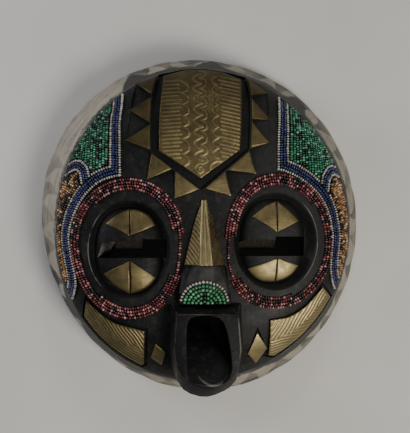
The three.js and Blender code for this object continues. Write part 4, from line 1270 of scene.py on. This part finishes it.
def cheek_relief(name, x, y, u, v):
    if name == "left":
        part = 0.48 + 0.09 * np.sin(u * 30)
        made = np.where(v > part, strokes(x, y, -54), strokes(x, y, -33, 2.2))
        made = np.maximum(made, ridge((v - part) * 26, 1.0))
    else:
        made = np.where(v > 0.46, strokes(x, y, 60, 2.7, 0.7), strokes(x, y, 12, 2.5, 0.65))
    return made * fade_to_edges(u, v, 0.03, 0.05)


for name in SIDES:
    low, low_inner, inner, high = cheek_sides(name, 24, 24)
    x, y, u, v = between_curves([*low, low_inner], [*high[::-1], inner], 90, 150)
    piece = sheet(f"cheek_brass_{name}", x, y, on_face, cheek_relief(name, x, y, u, v), 0.6, phase=3.0)
    finish_piece(piece, brass, [f"cheek_plate_{name}"])
print("cheek plates:", count_named("cheek_brass"))

# %% [markdown]
# ## Bead strands
# A real strip of beads is threaded and stitched down row by row. Here one row is one strand: a
# polyline that lies on the wood at half a bead's height. A geometry-node tree walks along every
# strand, sets a bead at each pitch, turns it to the thread and gives it its own small change of
# size and a random tint. The beads then become one plain mesh per band.

# %% The bead tree
BEAD_WIDTH, BEAD_NUDGE, FACES_PER_BEAD = 2.85, 0.00016, 48
BEAD_SIZE = {"Pitch": 2.2, "Length": 2.1, "Width": BEAD_WIDTH}
RANDOM, STORE = "FunctionNodeRandomValue", "GeometryNodeStoreNamedAttribute"


def bead_tree(name):
    tree = bpy.data.node_groups.new(name, "GeometryNodeTree")
    sockets = {"Geometry": "Geometry", "Pitch": "Float", "Length": "Float", "Width": "Float"}
    for label, kind in {**sockets, "Seed": "Int", "Glass": "Material"}.items():
        tree.interface.new_socket(label, in_out="INPUT", socket_type=f"NodeSocket{kind}")
    tree.interface.new_socket("Geometry", in_out="OUTPUT", socket_type="NodeSocketGeometry")
    given = add(tree, "NodeGroupInput").outputs
    curve = add(tree, "GeometryNodeMeshToCurve", {"Mesh": given["Geometry"]})
    spaced = add(tree, "GeometryNodeResampleCurve", {"Curve": curve, "Length": given["Pitch"]}, mode="LENGTH")
    ball = add(tree, "GeometryNodeMeshUVSphere", {"Segments": 8, "Rings": 6, "Radius": 0.5})
    size = add(tree, COMBINE, {"X": given["Width"], "Y": given["Width"], "Z": given["Length"]})
    bead = add(tree, "GeometryNodeTransform", {"Geometry": ball, "Scale": size})
    smooth = add(tree, "GeometryNodeSetShadeSmooth", {"Geometry": bead})
    tangent = add(tree, "GeometryNodeInputTangent")
    turn = add(tree, "FunctionNodeAlignRotationToVector", {"Vector": tangent}, axis="Z")
    sizes = {2: 0.9, 3: 1.05, "Seed": given["Seed"]}
    jitter = add(tree, RANDOM, sizes, data_type="FLOAT").outputs[1]
    kind = add(tree, "GeometryNodeInputNamedAttribute", {"Name": "kind"}, data_type="FLOAT")
    grown = add(tree, MATH, {0: kind, 1: -0.13, 2: jitter}, operation="MULTIPLY_ADD")
    steps = {0: [-BEAD_NUDGE] * 3, 1: [BEAD_NUDGE] * 3, "Seed": given["Seed"]}
    nudge = add(tree, RANDOM, steps, data_type="FLOAT_VECTOR")
    moved = add(tree, "GeometryNodeSetPosition", {"Geometry": spaced, "Offset": nudge})
    where = {"Points": moved, "Instance": smooth, "Rotation": turn, "Scale": grown}
    beads = add(tree, "GeometryNodeInstanceOnPoints", where)
    next_seed = add(tree, MATH, {0: given["Seed"], 1: 7.0}, operation="ADD")
    chance = add(tree, RANDOM, {2: 0.0, 3: 1.0, "Seed": next_seed}, data_type="FLOAT").outputs[1]
    position = add(tree, "GeometryNodeInputPosition")
    spot = add(tree, NOISE, {"Vector": position, "Scale": per_mm(15), "Detail": 2.0})
    for label, value in (("tint", chance), ("patch", spot)):
        stored = {"Geometry": beads, "Name": label, "Value": value}
        beads = add(tree, STORE, stored, data_type="FLOAT", domain="INSTANCE")
    real = add(tree, "GeometryNodeRealizeInstances", {"Geometry": beads})
    dressed = add(tree, "GeometryNodeSetMaterial", {"Geometry": real, "Material": given["Glass"]})
    add(tree, "NodeGroupOutput", {"Geometry": dressed})
    return tree


beads_on_strands = bead_tree("beads on strands")
print("nodes of the bead tree:", len(beads_on_strands.nodes))


def bead_piece(name, strands, glass, nodes, seed, size=BEAD_SIZE):
    """strands: (3-D polyline in millimetres, kind) pairs. Kind is a number that the glass reads."""
    points, edges, kinds = [], [], []
    for line, kind in strands:
        edges += [(len(points) + i, len(points) + i + 1) for i in range(len(line) - 1)]
        points += list(line)
        kinds += [kind] * len(line)
    mesh = bpy.data.meshes.new(name)
    mesh.from_pydata(((np.array(points) + ORIGIN) / 1000).tolist(), edges, [])
    mesh.attributes.new("kind", "FLOAT", "POINT").data.foreach_set("value", kinds)
    thing = bpy.data.objects.new(name, mesh)
    bpy.context.scene.collection.objects.link(thing)
    step = thing.modifiers.new("beads", "NODES")
    step.node_group = beads_on_strands
    values = {label: value / 1000 for label, value in size.items()}
    values |= {"Seed": seed, "Glass": glass}
    for item in beads_on_strands.interface.items_tree:
        if item.item_type == "SOCKET" and item.in_out == "INPUT" and item.name in values:
            step[item.identifier] = values[item.name]
    settle(thing)
    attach(thing, "root")
    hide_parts(*nodes)
    print(name, "beads:", len(thing.data.polygons) // FACES_PER_BEAD)


# %% [markdown]
# Seed beads are small cut tubes of coloured glass, tumbled until round. They are nearly opaque,
# smooth and shiny, with patches of grime. One material recipe serves all colours: the kind of
# the strand picks white or coloured glass, the tint and the patch pick light, dark and odd beads.

# %% Bead glass


def bead_glass(name, stops, odd_code, odd_share, by_patch=0.0):
    """Opaque coloured glass, tumbled and shiny, with patches of grime."""
    material, tree, shader, place = new_material(name)
    names = ("tint", "patch", "kind")
    tint, patch, kind = (add(tree, ATTRIBUTE, attribute_name=field).outputs["Fac"] for field in names)
    shade = add(tree, RAMP, {"Fac": tint}, stops)
    level = add(tree, MATH, {0: patch, 1: by_patch, 2: -0.5 * by_patch}, operation="MULTIPLY_ADD")
    drawn_by = add(tree, MATH, {0: level, 1: tint}, operation="ADD")
    odd = add(tree, MATH, {0: drawn_by, 1: odd_share}, operation="LESS_THAN")
    coloured = add(tree, MIX, {"Factor": odd, 6: shade, 7: odd_code}, data_type="RGBA").outputs[2]
    whites = [(0.0, "#77746b"), (0.2, "#a3a196"), (0.85, "#bbb9ae"), (1.0, "#8b8576")]
    pale = add(tree, RAMP, {"Fac": tint}, whites)
    glass = add(tree, MIX, {"Factor": kind, 6: coloured, 7: pale}, data_type="RGBA").outputs[2]
    grime = add(tree, NOISE, {"Vector": place, "Scale": per_mm(1.5), "Detail": 3.0})
    # In the glass this mix is grime only: random dark patches, with no painted light.
    grime_and_painted_light = add(tree, RANGE, {"Value": grime, "From Min": 0.35, "From Max": 0.75, "To Max": 0.45})
    dull = add(tree, MIX, {"Factor": grime_and_painted_light, 6: glass, 7: "#1e1b17"}, data_type="RGBA").outputs[2]
    rough = add(tree, RANGE, {"Value": grime, "To Min": 0.1, "To Max": 0.34}).outputs[0]
    finish_surface(tree, shader, dull, rough, grime, 0.03)
    shader.inputs["IOR"].default_value = 1.52
    return material


BLUES = [(0.0, "#141a3a"), (0.4, "#1b2450"), (0.8, "#252f63"), (1.0, "#3a457e")]
REDS = [(0.0, "#451419"), (0.4, "#672229"), (0.75, "#8c4245"), (1.0, "#c08f8b")]
GREENS = [(0.0, "#19452f"), (0.4, "#256449"), (0.75, "#318361"), (1.0, "#6fb998")]
LEAF_GREENS = [(0.0, "#2a6640"), (0.5, "#3a8a57"), (1.0, "#6db588")]
AMBERS = [(0.0, "#4f3219"), (0.35, "#7d5430"), (0.75, "#b0804a"), (1.0, "#dcc09a")]
blue_glass = bead_glass("blue and white seed beads", BLUES, "#0f1220", 0.05)
red_glass = bead_glass("red and black seed beads", REDS, "#120f10", 0.36, 2.4)
green_glass = bead_glass("green seed beads", GREENS, "#101914", 0.3, 0.9)
moss_glass = bead_glass("leaf green seed beads", LEAF_GREENS, "#15301f", 0.08)
amber_glass = bead_glass("amber seed beads", AMBERS, "#1c1410", 0.38, 1.8)
print("glass materials:", [glass.name for glass in bpy.data.materials if "beads" in glass.name])

# %% [markdown]
# Each strand starts as a line on the plan, shifted sideways over the dome. A shift over a steep
# part of the dome covers less ground on the plan, so the shift follows the surface, and a field's
# next strand is shifted from the last one. Where a strip meets the curved band, two shifted lines
# are cut at their crossing, which gives a neat corner.

# %% Lines and shifts


def dense(line, step=1.0):
    line = np.asarray(line, float)
    total = np.linalg.norm(np.diff(line, axis=0), axis=1).sum()
    return sample(line, max(3, int(total / step)))


def shifted(line, distance):
    """A plan line moved sideways over the face; a positive distance is to the right of its run."""
    line = np.asarray(line, float)
    before, after = np.r_[line[:1], line[:-1]], np.r_[line[1:], line[-1:]]
    zero = np.zeros(len(line))
    along = on_face(after[:, 0], after[:, 1], zero) - on_face(before[:, 0], before[:, 1], zero)
    here = on_face(line[:, 0], line[:, 1], zero)
    normal = on_face(line[:, 0], line[:, 1], zero + 1) - here
    across = np.cross(along, normal)
    across /= np.linalg.norm(across, axis=1, keepdims=True)
    return (here + across * distance)[:, :2]


def cut_at_crossing(first, second):
    """Two plan lines joined at the point where they cross."""
    for i in range(len(first) - 1):
        a, b = first[i], first[i + 1] - first[i]
        for j in range(len(second) - 1):
            c, d = second[j], second[j + 1] - second[j]
            across = b[0] * d[1] - b[1] * d[0]
            if abs(across) < 1e-9:
                continue
            s = ((c - a)[0] * d[1] - (c - a)[1] * d[0]) / across
            t = ((c - a)[0] * b[1] - (c - a)[1] * b[0]) / across
            if 0 <= s <= 1 and 0 <= t <= 1:
                return np.array([*first[: i + 1], a + s * b]), np.array([*second[j + 1 :]])
    return first, second


def runs(line, keep):
    """The parts of a line where keep is true."""
    parts, part = [], []
    for point, good in zip(line, keep):
        if good:
            part.append(point)
        elif part:
            parts.append(np.array(part))
            part = []
    return [p for p in [*parts, np.array(part)] if len(p) > 3]


def distance_to(points, line):
    return np.min(np.linalg.norm(points[:, None, :] - np.asarray(line)[None], axis=2), axis=1)


def reach_of(line):
    x, y = line.T
    return np.hypot(x, y) / wavy(FACE_RADIUS, FACE_WAVES, np.arctan2(y, x))


def laid(line, lift=GAP + BEAD_WIDTH / 2):
    """A plan line at a bead's clearance above the wood, moved straight up from where it is drawn."""
    x, y, zero = line[:, 0], line[:, 1], np.zeros(len(line))
    upright = (on_face(x, y, zero + 1) - on_face(x, y, zero))[:, 2]
    return np.stack([x, y, face_height(x, y) + lift / upright], -1)


print("bead lift:", GAP + BEAD_WIDTH / 2)

# %% [markdown]
# ## Bands and branches
# Four strands make the band: white, blue, blue, white. It comes down from the forehead, turns round
# the eye ring and ends at the edge of the face. A short branch of the same four strands runs from
# the band to the edge.

# %% Band and branch
STRIP_PITCH, BAND_PITCH, BRANCH_PITCH, BAND_END = 2.8, 3.05, 2.75, {"left": 0.985, "right": 0.975}
LINE_STEP, BRANCH_STEP = 0.7, 0.5
STRIPS = {
    "left": [[-77.5, 118], [-78, 111], [-78.5, 103.5], [-80, 95.5], [-81, 85], [-81, 66]],
    "right": [[72.5, 119], [72, 112], [71.5, 104.5], [71, 96.5], [70.5, 86], [69.5, 69]],
}
BRANCHES = {
    "left": [[-107, 35.5], [-109, 46.5], [-113.5, 51], [-117.5, 51], [-122.5, 48], [-126, 45]],
    "right": [[107, 27], [108, 31], [109.5, 39.5], [113.5, 46], [117.5, 47.5], [123.5, 45], [128, 41.5]],
}
CURVES = {
    "left": [
        [-72, 47], [-84, 45], [-97, 40], [-108, 30.5], [-117, 17], [-123, 2], [-125.5, -15],
        [-122.5, -36], [-119.5, -53], [-122, -66], [-127, -76],
    ],
    "right": [
        [62, 52.5], [73, 50], [86, 44], [97, 36], [107, 25.5], [114, 12], [118, -4], [119, -16],
        [117.5, -36], [119, -50], [124, -61], [129, -70],
    ],
}


def flowing(points, steps=14):
    """A smooth line through a few given points."""
    points = np.array(points, float)
    run = np.concatenate([[2 * points[0] - points[1]], points, [2 * points[-1] - points[-2]]])
    t = np.linspace(0, 1, steps, endpoint=False)[:, None]
    parts = []
    for a, b, c, d in zip(run, run[1:], run[2:], run[3:]):
        bend = (2 * a - 5 * b + 4 * c - d) * t**2 + (3 * b - a - 3 * c + d) * t**3
        parts.append(0.5 * (2 * b + (c - a) * t + bend))
    return np.concatenate([*parts, points[-1:]])


def band_lines(name):
    """The strip and the curve of the band as two plan lines that overlap at the corner."""
    (x0, y0), (x1, y1) = STRIPS[name][-2:]
    down = [x1 + (x1 - x0) * 0.6, 24.0]
    top = STRIPS[name][0]
    return dense([[top[0] * 0.995, top[1] + 4], *STRIPS[name], down]), dense(flowing(CURVES[name]))


for name, side in SIDES.items():
    branch = dense(BRANCHES[name], BRANCH_STEP)
    strip_line, arc_line = band_lines(name)
    strands = []
    for j in range(4):
        kind = 1.0 if j in (0, 3) else 0.0
        sideways = -(j - 1.5) * BAND_PITCH * side["sign"]
        strip_strand = shifted(strip_line, sideways * STRIP_PITCH / BAND_PITCH)
        for line in cut_at_crossing(strip_strand, shifted(arc_line, sideways)):
            line = dense(line, LINE_STEP)
            keep = reach_of(line) < BAND_END[name]
            if j == 3:
                keep &= distance_to(line, branch) > 2.25 * BRANCH_PITCH
            strands += [(laid(part), kind) for part in runs(line, keep)]
        line = shifted(branch, (j - 1.5) * BRANCH_PITCH)
        clear = (1.55 if j in (0, 3) else 1.4) * BAND_PITCH
        keep = (distance_to(line, arc_line) > clear) & (reach_of(line) < BAND_END[name])
        strands += [(laid(part), kind) for part in runs(line, keep)]
    seed = 3 if name == "left" else 4
    bead_piece(f"bead_band_{name}", strands, blue_glass, [f"band_{name}"], seed)

# %% [markdown]
# ## Green and amber fields
# The branch parts the green beads above from the amber beads below. The green strands run down
# beside the strip and the amber strands run along the band, until the edge of the face stops them.

# %% Fields
FIELD_PITCH, BAND_CLEAR, BRANCH_CLEAR, FIRST_CLEAR = 2.9, 2.6, 1.2, 0.3


def strands_beside(line, sideways, count, keep_at):
    """Strands side by side from the band outwards, each shifted from the one before."""
    made = []
    first = 2 * BAND_PITCH + FIRST_CLEAR + FIELD_PITCH / 2
    line = dense(shifted(line, math.copysign(first, sideways)), LINE_STEP)
    for _ in range(count):
        made += [(laid(part), 0.0) for part in runs(line, keep_at(line))]
        line = max(runs(line, reach_of(line) < 1.0), key=len, default=line[:0])
        if len(line) < 8:
            break
        line = dense(shifted(line, math.copysign(FIELD_PITCH, sideways)), LINE_STEP)
    return made


for name, side in SIDES.items():
    branch = dense(BRANCHES[name], BRANCH_STEP)
    strip_line, arc_line = band_lines(name)

    def beyond_branch(line, sign):
        """Which points lie clear of the branch: above it for sign 1, below it for sign -1."""
        level = np.interp(np.abs(line[:, 0]), np.abs(branch[:, 0]), branch[:, 1])
        clear = distance_to(line, branch) > 2 * BRANCH_PITCH + BRANCH_CLEAR
        return clear & (sign * (line[:, 1] - level) > 0) & (reach_of(line) < BAND_END[name])

    def outside_band(line):
        outwards = np.linalg.norm(line - side["ring"], axis=1)
        nearest = arc_line[np.argmin(np.linalg.norm(line[:, None] - arc_line[None], axis=2), axis=1)]
        clear = distance_to(line, arc_line) > 1.5 * BAND_PITCH + BAND_CLEAR
        return clear & (outwards > np.linalg.norm(nearest - side["ring"], axis=1))

    away = -side["sign"]
    green = strands_beside(strip_line, away, 24, lambda line: beyond_branch(line, 1) & outside_band(line))
    amber = strands_beside(arc_line, away, 14, lambda line: beyond_branch(line, -1))
    bead_piece(f"beads_green_{name}", green, green_glass, [f"green_field_{name}"], 11)
    bead_piece(f"beads_amber_{name}", amber, amber_glass, [f"amber_field_{name}"], 12)

# %% [markdown]
# ## Eye rings
# Three to four rows of red and black beads lie round each eye. Beside the nose there is only room
# for one row, so the others stop there, and the fourth row is left out beside the band. A hand-laid
# ring isn't a true oval: its outer edge is a mean radius with a few waves added.

# %% Eye rings
RING_ROW_PITCH, RING_FIRST = 2.75, 1.3
RINGS = {
    "left": {
        "centre": [-69.7, -24], "mean": 56.9, "waves": [0.4, 0.95, -6.05, -0.55, -0.75, 0.7],
        "single": [-5, 22], "three": [183, 58],
    },
    "right": {
        "centre": [66.3, -18.5], "mean": 55.4, "waves": [-1.4, 0.65, -5.35, 0.75, 1.1, -0.8],
        "single": [197, 21], "three": [-14, 62],
    },
}
RING_BEADS = {"Pitch": 2.3, "Length": 2.1, "Width": 2.6}


def away_from(degrees, middle):
    return np.abs((degrees - middle + 540) % 360 - 180)


for name, ring in RINGS.items():
    degrees = ring["single"][0] + np.linspace(0, 359, 360)
    outer = wavy(ring["mean"], ring["waves"], np.radians(degrees))
    strands = []
    for row in range(4):
        line = polar(outer - RING_FIRST - RING_ROW_PITCH * row, np.radians(degrees)) + ring["centre"]
        middle, half_arc = ring["single"]
        keep = away_from(degrees, middle) > (-1 if row == 1 else half_arc + 1.5 * row)
        if row == 3:
            keep &= away_from(degrees, ring["three"][0]) > ring["three"][1]
        strands += [(laid(part), 0.0) for part in runs(line, keep)]
    nodes = [f"eye_ring_{name}"]
    bead_piece(f"eye_beads_{name}", strands, red_glass, nodes, 21, RING_BEADS)

# %% [markdown]
# ## Beads on the nose
# A half-moon of green beads with a white row round it covers the front of the nose tip. Its rows
# are arcs with one centre, cut off along the lower edge of the nose.

# %% Nose beads
MOON_CENTRE, MOON_RADIUS, MOON_LOW_Y, MOON_ROW_PITCH = [-2.3, -73.2], 21.0, -70.4, 3.35
NOSE_BEADS = {"Pitch": 3.1, "Length": 2.85, "Width": 3.0}
on_tip = lifted(tip_height)
strands = []
for k in range(6):
    radius = MOON_RADIUS - MOON_ROW_PITCH * k
    line = oval_point(MOON_CENTRE, [radius, radius], np.linspace(0, 180, 90))
    line = line[line[:, 1] > MOON_LOW_Y + (2.2 if k == 0 else 0.0)]
    if len(line) > 3:
        laid_line = on_tip(line[:, 0], line[:, 1], np.full(len(line), GAP + 1.45))
        strands.append((laid_line, 1.0 if k == 0 else 0.0))
bead_piece("beads_nose", strands, moss_glass, ["nose_beads"], 31, NOSE_BEADS)

# %% [markdown]
# ## The mask itself, the floor, the light and the camera
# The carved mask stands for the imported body. The floor is a plain pale board. A large soft lamp
# stands to the right of the camera and on the chin's side, so the brass near the nose catches it
# and the brow stays dark. A weak lamp beyond the forehead gives the upper edges a thin light, and
# a weak low one lights the painted wall from the left. The camera looks almost straight down from
# 1.3 m with a long lens.

# %% Mask, floor, lights and camera
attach(mask, "root")
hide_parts("mask_body")

FLOOR_HALF, FLOOR_Z = 900, -0.4
corners = [[i * FLOOR_HALF, j * FLOOR_HALF] for i, j in ((-1, -1), (1, -1), (1, 1), (-1, 1))]
floor = make_object("floor", at_z(corners, FLOOR_Z), [(0, 1, 2, 3)])
board, board_tree, board_shader, board_place = new_material("pale matt board")
board_noise = add(board_tree, NOISE, {"Vector": board_place, "Scale": per_mm(120)})
board_colour = add(board_tree, RAMP, {"Fac": board_noise}, [(0.3, "#c3c1bd"), (0.7, "#cac8c4")])
board_tree.links.new(board_colour.outputs[0], board_shader.inputs["Base Color"])
board_shader.inputs["Roughness"].default_value = 0.9
floor.data.materials.append(board)


def soft_lamp(name, place_mm, aim_mm, size_mm, watts, code):
    lamp = bpy.data.lights.new(name, "AREA")
    lamp.shape, lamp.size, lamp.size_y = "RECTANGLE", size_mm / 1000, size_mm / 1000
    lamp.energy, lamp.color = watts, colour(code)[:3]
    thing = bpy.data.objects.new(name, lamp)
    bpy.context.scene.collection.objects.link(thing)
    thing.location = [v / 1000 for v in place_mm]
    direction = Vector([(a - p) / 1000 for a, p in zip(aim_mm, place_mm)])
    thing.rotation_euler = direction.to_track_quat("-Z", "Y").to_euler()


soft_lamp("softbox", [430, -430, 980], [20, -20, 60], 360, 9.0, "#fffaf0")
soft_lamp("top lamp", [120, 900, 900], [0, -20, 80], 240, 2, "#fffdf8")
soft_lamp("side lamp", [-900, 420, 420], [0, 0, 40], 450, 5, "#f6f6ff")
world = bpy.data.worlds.new("dim studio")
world.use_nodes = True
background = world.node_tree.nodes["Background"].inputs
background["Color"].default_value = colour("#c9cbce")
background["Strength"].default_value = 0.36
bpy.context.scene.world = world

CAMERA_DISTANCE, CAMERA_FOCAL_PX, CAMERA_TILT = 1300.0, 1365.5, math.radians(3.7)
PICTURE, AIM_PX = [410, 433], [200, 222]
lens = bpy.data.cameras.new("camera")
lens.sensor_width, lens.sensor_fit = 36.0, "AUTO"
lens.lens = CAMERA_FOCAL_PX * lens.sensor_width / max(PICTURE)
lens.shift_x = (PICTURE[0] / 2 - AIM_PX[0]) / max(PICTURE)
lens.shift_y = (AIM_PX[1] - PICTURE[1] / 2) / max(PICTURE)
lens.clip_start, lens.clip_end = 0.1, 10
camera = bpy.data.objects.new("camera", lens)
aside, up = CAMERA_DISTANCE * math.sin(CAMERA_TILT), CAMERA_DISTANCE * math.cos(CAMERA_TILT)
camera.location = [(ORIGIN[0] - aside) / 1000, ORIGIN[1] / 1000, up / 1000]
camera.rotation_euler = [0, -CAMERA_TILT, 0]
bpy.context.scene.collection.objects.link(camera)
bpy.context.scene.camera = camera
